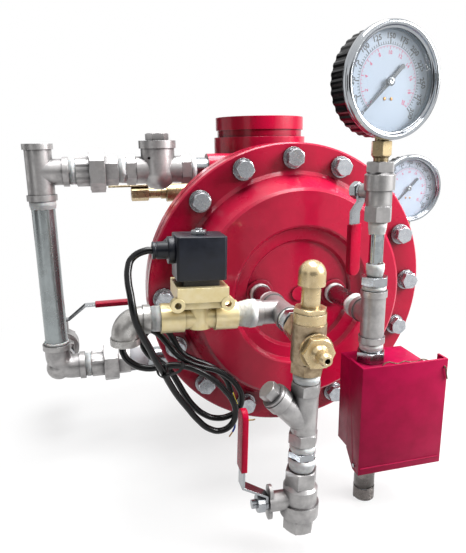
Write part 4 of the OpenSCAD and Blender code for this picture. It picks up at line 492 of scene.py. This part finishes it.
# Lead of the solenoid, from the gland to its stripped end; the route is the CAD cord's, in mm
cordValues = {
    "diameter": 0.0066,  # in metres, as is the length
    "length": 0.93,
    "route": [(-168.6728, -219, 271.8231), (-173.6698, -219, 271.9976), (-187, -221, 266), (-191, -226, 258),
              (-192, -232, 248), (-191, -238, 237), (-190, -242, 226), (-188, -243, 214), (-184, -241, 202),
              (-179, -237, 190), (-174, -231, 177), (-169, -225, 164), (-163, -218, 151), (-157, -211, 136),
              (-149, -205, 119), (-139, -200, 102), (-128, -197, 85), (-116, -195, 72), (-103, -194, 67),
              (-92, -194, 72), (-87, -195, 85), (-90, -197, 101), (-99, -199, 116), (-111, -201, 130),
              (-124, -203, 141), (-137, -205, 149), (-151, -206, 153), (-165, -206, 153), (-179, -205, 153),
              (-191, -203, 158), (-199, -199, 167), (-199, -195, 178), (-191, -191, 186), (-178, -190, 189),
              (-166, -192, 184), (-156, -196, 173), (-147, -199, 161), (-135, -198, 151), (-120, -195, 143),
              (-106, -191, 136), (-93, -188, 126), (-82, -186, 112), (-77, -184, 97), (-81, -183, 83),
              (-92, -182, 76), (-106, -182, 76), (-119, -183, 83), (-130, -185, 95), (-139, -187, 110),
              (-146, -189, 125), (-153, -190, 139), (-163, -188, 150), (-175, -185, 160), (-179, -181, 172),
              (-171, -178, 183), (-157, -177, 182), (-148, -178, 170), (-141, -179, 156), (-129, -178, 146),
              (-115, -176, 138), (-101, -175, 128), (-91, -174, 115), (-86, -173, 100)],
    "cores": {
        "blue": [(-86, -173, 101), (-84.5, -173, 92), (-84, -173, 80), (-83, -173, 66), (-82.5, -173, 57),
                 (-85, -173, 51)],
        "yellow": [(-85.2, -172.4, 101), (-82, -172, 91), (-78, -172, 80), (-74.5, -172, 69), (-70, -172, 63.2),
                   (-64.5, -172, 61.8)],
    },
    "copper": {"blue": [(-85, -173, 51), (-87.5, -173, 47.5), (-89, -173, 45.5)],
               "yellow": [(-64.5, -172, 61.8), (-61, -172, 61.4), (-58.4, -172, 61.8)]},
    "coreRadius": 1.1,
    "coreSteps": 6,
    "copperRadius": 0.8,
    "copperSteps": 4,
    "jacketSides": 4,
    "jacketSteps": 5,
}

# Cable tie that holds two strands where they cross: a strap, its head and its curled tail, in mm
tieValues = {"middle": (-164, -212, 152), "long": (-2, 12, 2), "run": (0.67, 0.2, -0.72), "halfLong": 10.8,
             "halfShort": 5.4, "loopSteps": 40, "width": 2.6, "thick": 1.1, "head": (4.6, 3.0, 3.8),
             "headOut": 1.4, "headEdge": 0.5, "headEdgeSteps": 2, "tailSteps": 6,
             "tail": [(0, 0, 0), (6, -3, 3), (12, -5, 6), (16, -4, 10), (16, -1, 14), (12, 1, 15)]}


# Flat band along points, with its width along one side direction
def strapMesh(points, side, width, thick, closed=False):
    points = [Vector(p) * mm for p in points]
    count, last = len(points), len(points) - 1
    vertices, faces = [], []
    for i, p in enumerate(points):
        before = points[i - 1 if closed or i else 0]
        after = points[(i + 1) % count if closed or i < last else last]
        out = (after - before).normalized().cross(side)
        for s, t in squareCorners:
            vertices.append(p + side * s * width * mm / 2 + out * t * thick * mm / 2)
    for i in range(count if closed else last):
        j = (i + 1) % count
        for k in range(4):
            n = (k + 1) % 4
            faces.append((4 * i + k, 4 * i + n, 4 * j + n, 4 * j + k))
    if not closed:
        faces += [(0, 1, 2, 3), tuple(4 * last + k for k in range(4))]
    return newMesh("strap", vertices, faces)


def makeTie(values):
    middle, run = Vector(values["middle"]), Vector(values["run"]).normalized()
    across = Vector(values["long"])
    across = (across - run * across.dot(run)).normalized()
    other = run.cross(across)
    ring = []
    for k in range(values["loopSteps"]):
        angle = 2 * math.pi * k / values["loopSteps"]
        ring.append(middle + across * values["halfLong"] * math.cos(angle)
                    + other * values["halfShort"] * math.sin(angle))
    start = middle - across * (values["halfLong"] + values["headOut"])
    tail = [start + Vector(p) for p in values["tail"]]
    work = bmesh.new()
    bmesh.ops.create_cube(work, size=1.0)
    turn = Matrix((other, across, run)).transposed().to_4x4()
    size = Matrix.Diagonal([side * mm for side in values["head"]] + [1])
    bmesh.ops.transform(work, verts=work.verts, matrix=Matrix.Translation(start * mm) @ turn @ size)
    bmesh.ops.bevel(work, geom=work.edges[:], offset=values["headEdge"] * mm, segments=values["headEdgeSteps"],
                    affect="EDGES")
    head = bpy.data.meshes.new("head")
    work.to_mesh(head)
    work.free()
    mesh = joinMeshes("cableTie", [
        strapMesh(ring, run, values["width"], values["thick"], True),
        strapMesh(throughPoints(tail, values["tailSteps"]), run, values["width"], values["thick"]), head])
    return finishPiece("cableTie", mesh, "blackNylon", "root", smooth=False)


def makeCord(values):
    route = [Vector(p) * mm for p in values["route"]]
    curve = bpy.data.curves.new("lead", "CURVE")
    curve.dimensions = "3D"
    curve.bevel_depth = values["diameter"] / 2
    curve.bevel_resolution = values["jacketSides"]
    curve.resolution_u = values["jacketSteps"]
    curve.use_fill_caps = True
    line = curve.splines.new("BEZIER")
    line.bezier_points.add(len(route) - 1)
    for point, place in zip(line.bezier_points, route):
        point.co = place
        point.handle_left_type = point.handle_right_type = "AUTO"
    lead = putInScene("lead", curve)
    curve.materials.append(materials["blackRubber"])
    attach(lead, "root")
    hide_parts("cord")
    parts = [makeTie(tieValues)]
    for colour in values["cores"]:
        parts.append(wirePiece(colour + "Core", throughPoints(values["cores"][colour], values["coreSteps"]),
                               values["coreRadius"], colour + "Wire", "root"))
        parts.append(wirePiece(colour + "Copper", throughPoints(values["copper"][colour], values["copperSteps"]),
                               values["copperRadius"], "bareCopper", "root"))


makeCord(cordValues)
print("cord, its cores and its tie")

# Both gauges, in mm and degrees: socket axis, height of the face's middle and turn about it; setback is socket axis
# to face
gaugeValues = {
    "places": {"front": (43, -241, 415.3, 8), "rear": (244, 30, 297, 0)},
    "bodies": {"front": "front_pointer", "rear": "back_pointer"},
    "setback": 16,
    "dialDepth": 11.0,
    # rolled rim seen in section, radius and height over the front plane
    "bezel": [(42.5, -3.7), (43.6, -3.3), (44.3, -3.1), (44.7, -2.6), (44.9, -1.6), (45.4, -0.6),
              (46.6, 0.0), (47.9, -0.25), (49.0, -1.0), (49.7, -2.2), (50.0, -3.6), (49.6, -4.3), (49.6, -4.9),
              (50.0, -5.6), (50.0, -8.2), (49.7, -8.8), (49.0, -9.0), (47.65, -9.0),
              (47.65, -3.8), (42.5, -3.8)],
    "well": [(42.75, -10.9), (43.85, -10.9), (43.85, -5.95), (42.75, -5.95)],
    # pointer cap and dial screw, closed at the axis
    "hub": [(0.0001, -6.35), (2.6, -6.4), (3.5, -6.65), (3.8, -7.05), (3.8, -7.4), (0.0001, -7.4)],
    "screw": [(0.0001, -10.45), (0.9, -10.5), (1.5, -10.75), (1.6, -11.0), (0.0001, -11.0)],
    "screwPlaces": [(-3.6, -14.3), (3.6, -14.3)],
    "steps": {"bezel": 128, "well": 96, "hub": 40, "screw": 20},
}
dialValues = {
    "outer": dict(ring=31.2, width=0.62, major=4.0, minor=2.2, marks=60, every=5, figure=4.8, figureRing=37.6,
                  step=25, last=300),
    "inner": dict(ring=29.6, width=0.4, major=-2.6, minor=-1.5, marks=40, every=4, figure=3.3, figureRing=24.2,
                  step=2, last=20),
    "start": 225,  # degrees from the right, against the clock
    "span": 270,
    "ink": 0.06,
    "lift": 0.02,  # of the ink over the dial
    "bolder": 0.7,  # major ticks are wider by this share
    "arcSteps": 96,
    "arcWidth": 0.32,
    "fontSize": 1.35,  # of a figure's height
    "stroke": 0.032,  # added to a figure's strokes, as a share of its size
    "curveSteps": 2,  # in a figure's curves
    "lean": 0.8,  # share of a figure's turn with the dial
}


# Face frame of a gauge: its +Z points out of the face, +Y up
def gaugeFrame(side, depth=0.0):
    x, y, z, turn = gaugeValues["places"][side]
    return (Matrix.Translation(Vector((x, y, z)) * mm) @ Matrix.Rotation(math.radians(turn), 4, "Z")
            @ Matrix.Translation((0, -gaugeValues["setback"] * mm, 0)) @ Matrix.Rotation(math.pi / 2, 4, "X")
            @ Matrix.Translation((0, 0, -depth * mm)))


def inMetres(profile):
    return [(r * mm, z * mm) for r, z in profile]


# One profile turned in each of the frames, as one piece
def turnedPiece(name, profile, finish, body, frames):
    meshes = [turnedMesh(inMetres(gaugeValues[profile]), matrix, gaugeValues["steps"][profile]) for matrix in frames]
    return finishPiece(name, joinMeshes(name, meshes), finish, body)


gaugeFrames = {side: gaugeFrame(side) for side in gaugeValues["places"]}
bezels = turnedPiece("rolledBezels", "bezel", "polishedSteel", "root", gaugeFrames.values())
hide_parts("gauge_bezels")
turnedPiece("dialWells", "well", "wellShadeBlue", "root", gaugeFrames.values())
for side, body in gaugeValues["bodies"].items():
    turnedPiece(side + "PointerCap", "hub", "polishedSteel", body, [gaugeFrames[side]])
turnedPiece("dialScrews", "screw", "screwBrass", "root",
            [face @ Matrix.Translation((x * mm, y * mm, 0)) for face in gaugeFrames.values()
             for x, y in gaugeValues["screwPlaces"]])


# Ticks round the dial: a box on each mark, long or short
def tickTree():
    tree, given, out = newTree("dialTicks", {"Ring": 0.03, "Marks": 60, "Every": 5, "Major": 0.004, "Minor": 0.002,
                                             "Width": 0.0004, "Ink": 0.00006, "Finish": None})
    maths = "ShaderNodeMath"
    start = math.radians(dialValues["start"])
    end = start - math.radians(dialValues["span"])
    count = addNode(tree, maths, {"operation": "ADD", 1: 1.0}, {0: given["Marks"]})
    points = addNode(tree, "GeometryNodePoints", {}, {"Count": count})
    index = addNode(tree, "GeometryNodeInputIndex")
    share = addNode(tree, maths, {"operation": "DIVIDE"}, {0: index, 1: given["Marks"]})
    angle = addNode(tree, "ShaderNodeMapRange", {"To Min": start, "To Max": end}, {"Value": share})
    left = addNode(tree, maths, {"operation": "MODULO"}, {0: index, 1: given["Every"]})
    isMajor = addNode(tree, maths, {"operation": "LESS_THAN", 1: 0.5}, {0: left})
    length = addNode(tree, "GeometryNodeSwitch", {"input_type": "FLOAT"},
                     {"Switch": isMajor, "False": given["Minor"], "True": given["Major"]})
    wide = addNode(tree, maths, {"operation": "MULTIPLY_ADD", 1: dialValues["bolder"], 2: 1.0}, {0: isMajor})
    thick = addNode(tree, maths, {"operation": "MULTIPLY"}, {0: wide, 1: given["Width"]})
    half = addNode(tree, maths, {"operation": "MULTIPLY_ADD", 1: 0.5}, {0: length, 2: given["Ring"]})
    x, y = (addNode(tree, maths, {"operation": "MULTIPLY"},
                    {0: addNode(tree, maths, {"operation": turn}, {0: angle}), 1: half})
            for turn in ("COSINE", "SINE"))
    spot = addNode(tree, "ShaderNodeCombineXYZ", {}, {0: x, 1: y})
    standing = addNode(tree, "GeometryNodeSetPosition", {}, {"Geometry": points, "Position": spot})
    turned = addNode(tree, "ShaderNodeCombineXYZ", {}, {2: angle})
    size = addNode(tree, "ShaderNodeCombineXYZ", {}, {0: length, 1: thick, 2: given["Ink"]})
    stamp = addNode(tree, "GeometryNodeInstanceOnPoints", {}, {
        "Points": standing, "Instance": addNode(tree, "GeometryNodeMeshCube"), "Rotation": turned, "Scale": size})
    return closeTree(tree, given, out, stamp, smooth=False)


ticks = tickTree()


# Figures as a closed thin solid, centred on their place
def figureMesh(text, size, ink):
    curve = bpy.data.curves.new("figure", "FONT")
    curve.body, curve.size = text, size
    curve.align_x, curve.align_y = "CENTER", "CENTER"
    curve.extrude = ink / 2
    curve.offset = size * dialValues["stroke"]
    curve.resolution_u = dialValues["curveSteps"]
    holder = putInScene("figure", curve)
    mesh = evaluated(holder)
    bpy.data.objects.remove(holder)
    return mesh


def dialAngle(share):
    return math.radians(dialValues["start"] - dialValues["span"] * share)


# Ticks, the arc they stand on and their figures, laid on the dial
def printedScale(side, label, scale, material):
    ink = dialValues["ink"]
    parts = [grow(ticks, {"Ring": scale["ring"] * mm, "Marks": scale["marks"], "Every": scale["every"],
                          "Major": scale["major"] * mm, "Minor": scale["minor"] * mm,
                          "Width": scale["width"] * mm, "Ink": ink * mm, "Finish": materials[material]})]
    count = scale["last"] // scale["step"]
    for i in range(count + 1):
        angle = dialAngle(i / count)
        at = Vector((math.cos(angle), math.sin(angle), 0)) * scale["figureRing"] * mm
        turn = (angle - math.pi / 2) * dialValues["lean"]
        figure = figureMesh(str(i * scale["step"]), scale["figure"] * mm * dialValues["fontSize"], ink * mm)
        parts.append(placed(figure, Matrix.Translation(at) @ Matrix.Rotation(turn, 4, "Z")))
    angles = [dialAngle(i / dialValues["arcSteps"]) for i in range(dialValues["arcSteps"] + 1)]
    arc = [(math.cos(angle) * scale["ring"], math.sin(angle) * scale["ring"], 0) for angle in angles]
    parts.append(strapMesh(arc, Vector((0, 0, 1)), ink, dialValues["arcWidth"]))
    depth = gaugeValues["dialDepth"] - ink / 2 - dialValues["lift"]
    finishPiece(label, placed(joinMeshes(label, parts), gaugeFrame(side, depth)), material, "root", smooth=False)


for side in gaugeValues["places"]:
    printedScale(side, side + "DialBlackScale", dialValues["outer"], "blackInk")
    printedScale(side, side + "DialRedScale", dialValues["inner"], "redInk")
print("gauges and their dials")

# Moulded and folded pieces with their real corner radius, in place of the sharp CAD solid:
# name, body, radius in mm, steps round the corner and finish
cornerValues = {
    "drain_sleeve": ("drainGrip", "drain_handle", 1.2, 3, "dippedVinyl"),
    "gauge_sleeve": ("gaugeGrip", "gauge_handle", 1.2, 3, "dippedVinyl"),
    "rear_sleeve": ("rearGrip", "rear_handle", 1.2, 3, "dippedVinyl"),
    "coil": ("mouldedCoil", "root", 1.2, 3, "mouldedNylon"),
    "cable_plug": ("mouldedPlug", "root", 0.8, 2, "mouldedNylon"),
    "release_box": ("foldedBox", "root", 0.9, 2, "boxPaint"),
    "release_lid": ("foldedLid", "lid", 0.9, 2, "boxPaint"),
}
# In degrees: faces within the first are merged, edges over the second rounded, edges over the third shaded sharp
cornerAngles = {"flat": 1.0, "rounded": 40, "sharp": 32}


def roundedCopy(node, name, body, radius, segments, finish):
    work = bmesh.new()
    work.from_mesh(nodes[node].data)
    bmesh.ops.remove_doubles(work, verts=work.verts, dist=weld["cad"])
    bmesh.ops.dissolve_limit(work, angle_limit=math.radians(cornerAngles["flat"]), verts=work.verts,
                             edges=work.edges)
    mesh = bpy.data.meshes.new(name)
    work.to_mesh(mesh)
    work.free()
    holder = putInScene(name, mesh)
    bevel = holder.modifiers.new("corners", "BEVEL")
    bevel.width = radius * mm
    bevel.segments = segments
    bevel.limit_method = "ANGLE"
    bevel.angle_limit = math.radians(cornerAngles["rounded"])
    ready = evaluated(holder)
    bpy.data.objects.remove(holder)
    paint(ready, finish, True)
    ready.set_sharp_from_angle(angle=math.radians(cornerAngles["sharp"]))
    piece = putInScene(name, ready)
    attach(piece, body)
    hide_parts(node)


for node, row in cornerValues.items():
    roundedCopy(node, *row)
print("rounded corners")

# Thread tape: each CAD band gets its own loose winding. Over is how far it runs past each end, rise what each turn
# adds, flutter and grain how much and how finely it ruffles.
tapeValues = {"over": 0.6, "width": 6.0, "thick": 0.5, "pitch": 1.3, "rise": 0.22, "flutter": 2.0, "grain": 2.6}


# Every closed band of the CAD tape as its lower end, axis, inner radius and length, read from its mesh
def tapeBands():
    work = bmesh.new()
    work.from_mesh(nodes["thread_tape"].data)
    bmesh.ops.remove_doubles(work, verts=work.verts, dist=weld["cad"])
    seen, bands = set(), []
    for first in work.verts:
        if first in seen:
            continue
        seen.add(first)
        island, waiting = [], [first]
        while waiting:
            vertex = waiting.pop()
            island.append(vertex)
            for edge in vertex.link_edges:
                other = edge.other_vert(vertex)
                if other not in seen:
                    seen.add(other)
                    waiting.append(other)
        counts = {}
        for face in {face for vertex in island for face in vertex.link_faces}:
            normal = face.normal if max(face.normal, key=abs) > 0 else -face.normal
            key = tuple(round(c, 3) for c in normal)
            counts[key] = counts.get(key, 0) + 1
        axis = Vector(max(counts, key=counts.get)).normalized()
        middle = sum((v.co for v in island), Vector()) / len(island)
        along = [(v.co - middle).dot(axis) for v in island]
        radii = [(v.co - middle - axis * t).length for v, t in zip(island, along)]
        bands.append((middle + axis * min(along), axis, min(radii) / mm, (max(along) - min(along)) / mm))
    work.free()
    return bands


# A winding is at most as wide as this share of its length, and goes round this often at least
wrapRules = {"widest": 0.8, "leastTurns": 2.0, "moreTurns": 1.5, "steps": 36}


def wrapMesh(start, axis, radius, length, values, seed, finish):
    start, length = start - axis * values["over"] * mm, length + 2 * values["over"]
    width = min(values["width"], length * wrapRules["widest"])
    turns = values.get("turns") or max(wrapRules["leastTurns"],
                                       (length - width) / values["pitch"] + wrapRules["moreTurns"])
    mesh = grow(winding, {
        "Start Radius": (radius + values["thick"] / 2) * mm,
        "End Radius": (radius + values["thick"] / 2 + values["rise"] * turns) * mm,
        "Height": (length - width) * mm, "Turns": turns, "Base": width * mm, "Crest": width * mm,
        "Thickness": values["thick"] * mm, "Flutter": values["flutter"] * mm, "Grain": values["grain"] * mm,
        "Seed": seed, "Steps": wrapRules["steps"], "Finish": materials[finish]})
    return placed(mesh, Matrix.Translation(start + axis * width / 2 * mm) @ ontoAxis(axis))


wraps = [wrapMesh(start, axis, radius, length, tapeValues, seed, "threadTape")
         for seed, (start, axis, radius, length) in enumerate(tapeBands())]
tape = finishPiece("threadTapeWraps", joinMeshes("threadTapeWraps", wraps), "threadTape", "root")
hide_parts("thread_tape")

# A sheet of paper is wound once round the lower line's nipple
paperValues = {"start": (-198, -40, 96), "radius": 13.5, "length": 35.0, "turns": 1.12, "width": 34.0,
               "thick": 0.3, "rise": 0.7, "flutter": 1.2, "grain": 12.0, "over": 0.0, "seed": 31}
finishPiece("paperWrap", wrapMesh(Vector(paperValues["start"]) * mm, Vector((1, 0, 0)), paperValues["radius"],
                                  paperValues["length"], paperValues, paperValues["seed"], "whitePaper"),
            "whitePaper", "root")

# Pipe threads that stay bare: start, axis, pipe radius, length; pitch of half-inch thread is 1.8 mm
threadValues = {"pitch": 1.8, "base": 1.5, "crest": 0.4, "depth": 0.8, "sunk": 0.25, "grain": 10.0, "steps": 48,
                "rows": [((43, -241, -6.8), (0, 0, 1), 10.45, 14.0), ((43, -241, 246.5), (0, 0, 1), 6.6, 5.0)]}
threads = []
for seed, (start, axis, radius, length) in enumerate(threadValues["rows"]):
    middle = radius + threadValues["depth"] / 2 - threadValues["sunk"]
    mesh = grow(winding, {
        "Start Radius": middle * mm, "End Radius": middle * mm, "Height": length * mm,
        "Turns": length / threadValues["pitch"], "Base": threadValues["base"] * mm,
        "Crest": threadValues["crest"] * mm, "Thickness": threadValues["depth"] * mm, "Flutter": 0.0,
        "Grain": threadValues["grain"] * mm, "Seed": seed, "Steps": threadValues["steps"],
        "Finish": materials["shadeDarkSteel"]})
    threads.append(placed(mesh, Matrix.Translation(Vector(start) * mm) @ ontoAxis(axis)))
finishPiece("bareThreads", joinMeshes("bareThreads", threads), "shadeDarkSteel", "root", smooth=False)

# Wall of the outlet nipple above its thread: foot of its axis, and its section as radius and height
outletValues = {"foot": (43, -241, 0), "section": [(10.3, 7.2), (10.72, 7.2), (10.72, 51.6), (10.3, 51.6)],
                "steps": 64}
wall = turnedMesh(inMetres(outletValues["section"]), Matrix.Translation(Vector(outletValues["foot"]) * mm),
                  outletValues["steps"])
finishPiece("outletWall", wall, "shadeDarkSteel", "root")
print("tape, paper and threads")

# Seal wire: two strands twisted, humped over the lid's top edge and out through its corner
sealValues = {"strand": 0.4, "twist": 0.42, "pitch": 3.0, "steps": 8, "sides": 8,
              "route": [(42, -263.6, 150), (45, -264, 154.8), (50, -264.2, 156.2), (55, -264, 154.6),
                        (61, -263.6, 153.2), (67, -264, 155.0), (73, -263.8, 153.4), (81, -263.6, 153.0),
                        (87, -264, 154.8), (93, -263.8, 153.2), (101, -263.4, 149), (108.6, -264, 146.6),
                        (109.8, -267.5, 146.4), (110.6, -269.4, 144.8), (111.8, -269.6, 139), (113.4, -269.4, 133)]}


def makeSeal(values):
    line = throughPoints(values["route"], values["steps"])
    walked, strands = 0.0, ([], [])
    for i, p in enumerate(line):
        ahead = (line[min(i + 1, len(line) - 1)] - line[max(i - 1, 0)]).normalized()
        side = ahead.cross(Vector((0, 0, 1))).normalized()
        other = ahead.cross(side)
        if i:
            walked += (p - line[i - 1]).length
        angle = 2 * math.pi * walked / values["pitch"]
        for k, strand in enumerate(strands):
            a = angle + math.pi * k
            strand.append(p + (side * math.cos(a) + other * math.sin(a)) * values["twist"])
    for label, strand in zip(("sealWireA", "sealWireB"), strands):
        wirePiece(label, strand, values["strand"], "sealWire", "lid", values["sides"])


makeSeal(sealValues)

# Hem pressed across the lid near its lower edge
hemValues = {"ends": [(22.5, -267.9, 45.5), (112, -267.9, 45.5)], "radius": 0.8, "sides": 12}
wirePiece("lidHem", hemValues["ends"], hemValues["radius"], "boxPaint", "lid", hemValues["sides"])
print("seal wire and hem")

# White floor and surroundings, at one to the camera. Bounce is the floor's colour to the light it throws back up.
# Round the valve the floor keeps part of its shading, from one distance in metres to another.
stageValues = {"floorHeight": -0.0078, "floorSize": 8.0, "background": 1.0, "skylight": 0.08, "floor": "#F6F6F6",
               "bounce": "#9C9C9C", "rough": 0.9, "specular": 0.1, "white": (1, 1, 1, 1),
               "whitening": {"From Min": 0.22, "From Max": 0.62, "To Min": 0.76, "To Max": 1.0}}


# One for camera, glossy and transmission rays, which are shown the white background
def seenBy(tree):
    ray = addNode(tree, "ShaderNodeLightPath")
    seen = addNode(tree, "ShaderNodeMath", {"operation": "MAXIMUM"},
                   {0: ray.outputs["Is Camera Ray"], 1: ray.outputs["Is Glossy Ray"]})
    return addNode(tree, "ShaderNodeMath", {"operation": "MAXIMUM"}, {0: seen, 1: ray.outputs["Is Transmission Ray"]})


def makeFloor(values):
    half = values["floorSize"] / 2
    corners = [(x * half, y * half, values["floorHeight"]) for x, y in squareCorners]
    floor = putInScene("floor", newMesh("floor", corners, [(0, 1, 2, 3)]))
    material, tree, shader = newMaterial("paleFloor")
    ray = addNode(tree, "ShaderNodeLightPath")
    pale = addNode(tree, "ShaderNodeMix", {"data_type": "RGBA", 6: toLinear(values["bounce"]),
                                           7: toLinear(values["floor"])}, {0: ray.outputs["Is Camera Ray"]})
    setNode(tree, shader, {"Roughness": values["rough"], "Specular IOR Level": values["specular"]},
            {"Base Color": pale.outputs[2]})
    glow = addNode(tree, "ShaderNodeEmission", {"Color": values["white"], "Strength": values["background"]})
    place = addNode(tree, "ShaderNodeTexCoord").outputs["Object"]
    away = addNode(tree, "ShaderNodeVectorMath", {"operation": "LENGTH"}, {0: place})
    far = addNode(tree, "ShaderNodeMapRange", {"interpolation_type": "SMOOTHSTEP", **values["whitening"]},
                  {"Value": away.outputs["Value"]})
    share = addNode(tree, "ShaderNodeMath", {"operation": "MULTIPLY"}, {0: seenBy(tree), 1: far})
    mixed = addNode(tree, "ShaderNodeMixShader", {}, {0: share, 1: shader, 2: glow})
    setNode(tree, tree.nodes["Material Output"], {}, {"Surface": mixed})
    floor.data.materials.append(material)


def makeSky(values):
    world = bpy.data.worlds.new("studio")
    bpy.context.scene.world = world
    world.use_nodes = True
    tree = world.node_tree
    sky = setNode(tree, tree.nodes["Background"], {"Color": values["white"], "Strength": values["skylight"]})
    seenSky = addNode(tree, "ShaderNodeBackground", {"Color": values["white"], "Strength": values["background"]})
    both = addNode(tree, "ShaderNodeMixShader", {}, {0: seenBy(tree), 1: sky, 2: seenSky})
    setNode(tree, tree.nodes["World Output"], {}, {"Surface": both})


# Dark cards stand out of the picture and only show in gloss and metal: place and size in metres
cardValues = {"colour": "#2A2B2E", "rough": 0.9, "cards": {
    "cardBehindCamera": ((-0.5, -2.4, 0.5), (2.6, 1.5)),
    "cardLeft": ((-1.7, -0.5, 0.1), (1.2, 1.4)),
    "cardBehindLeft": ((-0.95, 1.5, 0.35), (1.1, 1.5)),
    "cardRight": ((1.7, 0.0, 0.15), (0.7, 1.0))}}
# Soft boxes: place and size in metres, power in watts
lampValues = {"keySoftbox": ((1.15, -0.75, 0.9), (0.7, 0.7), 38),
              "fillSoftbox": ((-1.3, -1.0, 0.6), (0.9, 1.2), 0.5),
              "topSoftbox": ((0.15, -0.1, 1.8), (1.2, 0.9), 48)}
valveMiddle = (0, -0.1, 0.2)


# The turn of a card or lamp that looks at the valve's middle from its place
def facingValve(place):
    return (Vector(valveMiddle) - Vector(place)).to_track_quat("-Z", "Y")


def makeCards(values):
    material, tree, shader = newMaterial("darkCard")
    setNode(tree, shader, {"Base Color": toLinear(values["colour"]), "Roughness": values["rough"]})
    for name, (place, (wide, high)) in values["cards"].items():
        matrix = Matrix.Translation(place) @ facingValve(place).to_matrix().to_4x4()
        corners = [matrix @ Vector((x * wide / 2, y * high / 2, 0)) for x, y in squareCorners]
        card = putInScene(name, newMesh(name, corners, [(0, 1, 2, 3)]))
        card.data.materials.append(material)
        card.visible_camera = card.visible_diffuse = card.visible_shadow = card.visible_transmission = False


def makeLamps(values):
    for name, (place, size, power) in values.items():
        lamp = bpy.data.lights.new(name, "AREA")
        lamp.shape = "RECTANGLE"
        lamp.size, lamp.size_y = size
        lamp.energy = power
        holder = putInScene(name, lamp)
        holder.location = place
        holder.rotation_euler = facingValve(place).to_euler()


makeFloor(stageValues)
makeSky(stageValues)
makeCards(cardValues)
makeLamps(lampValues)
bpy.context.scene.view_settings.view_transform = "Standard"
print("stage and lamps")
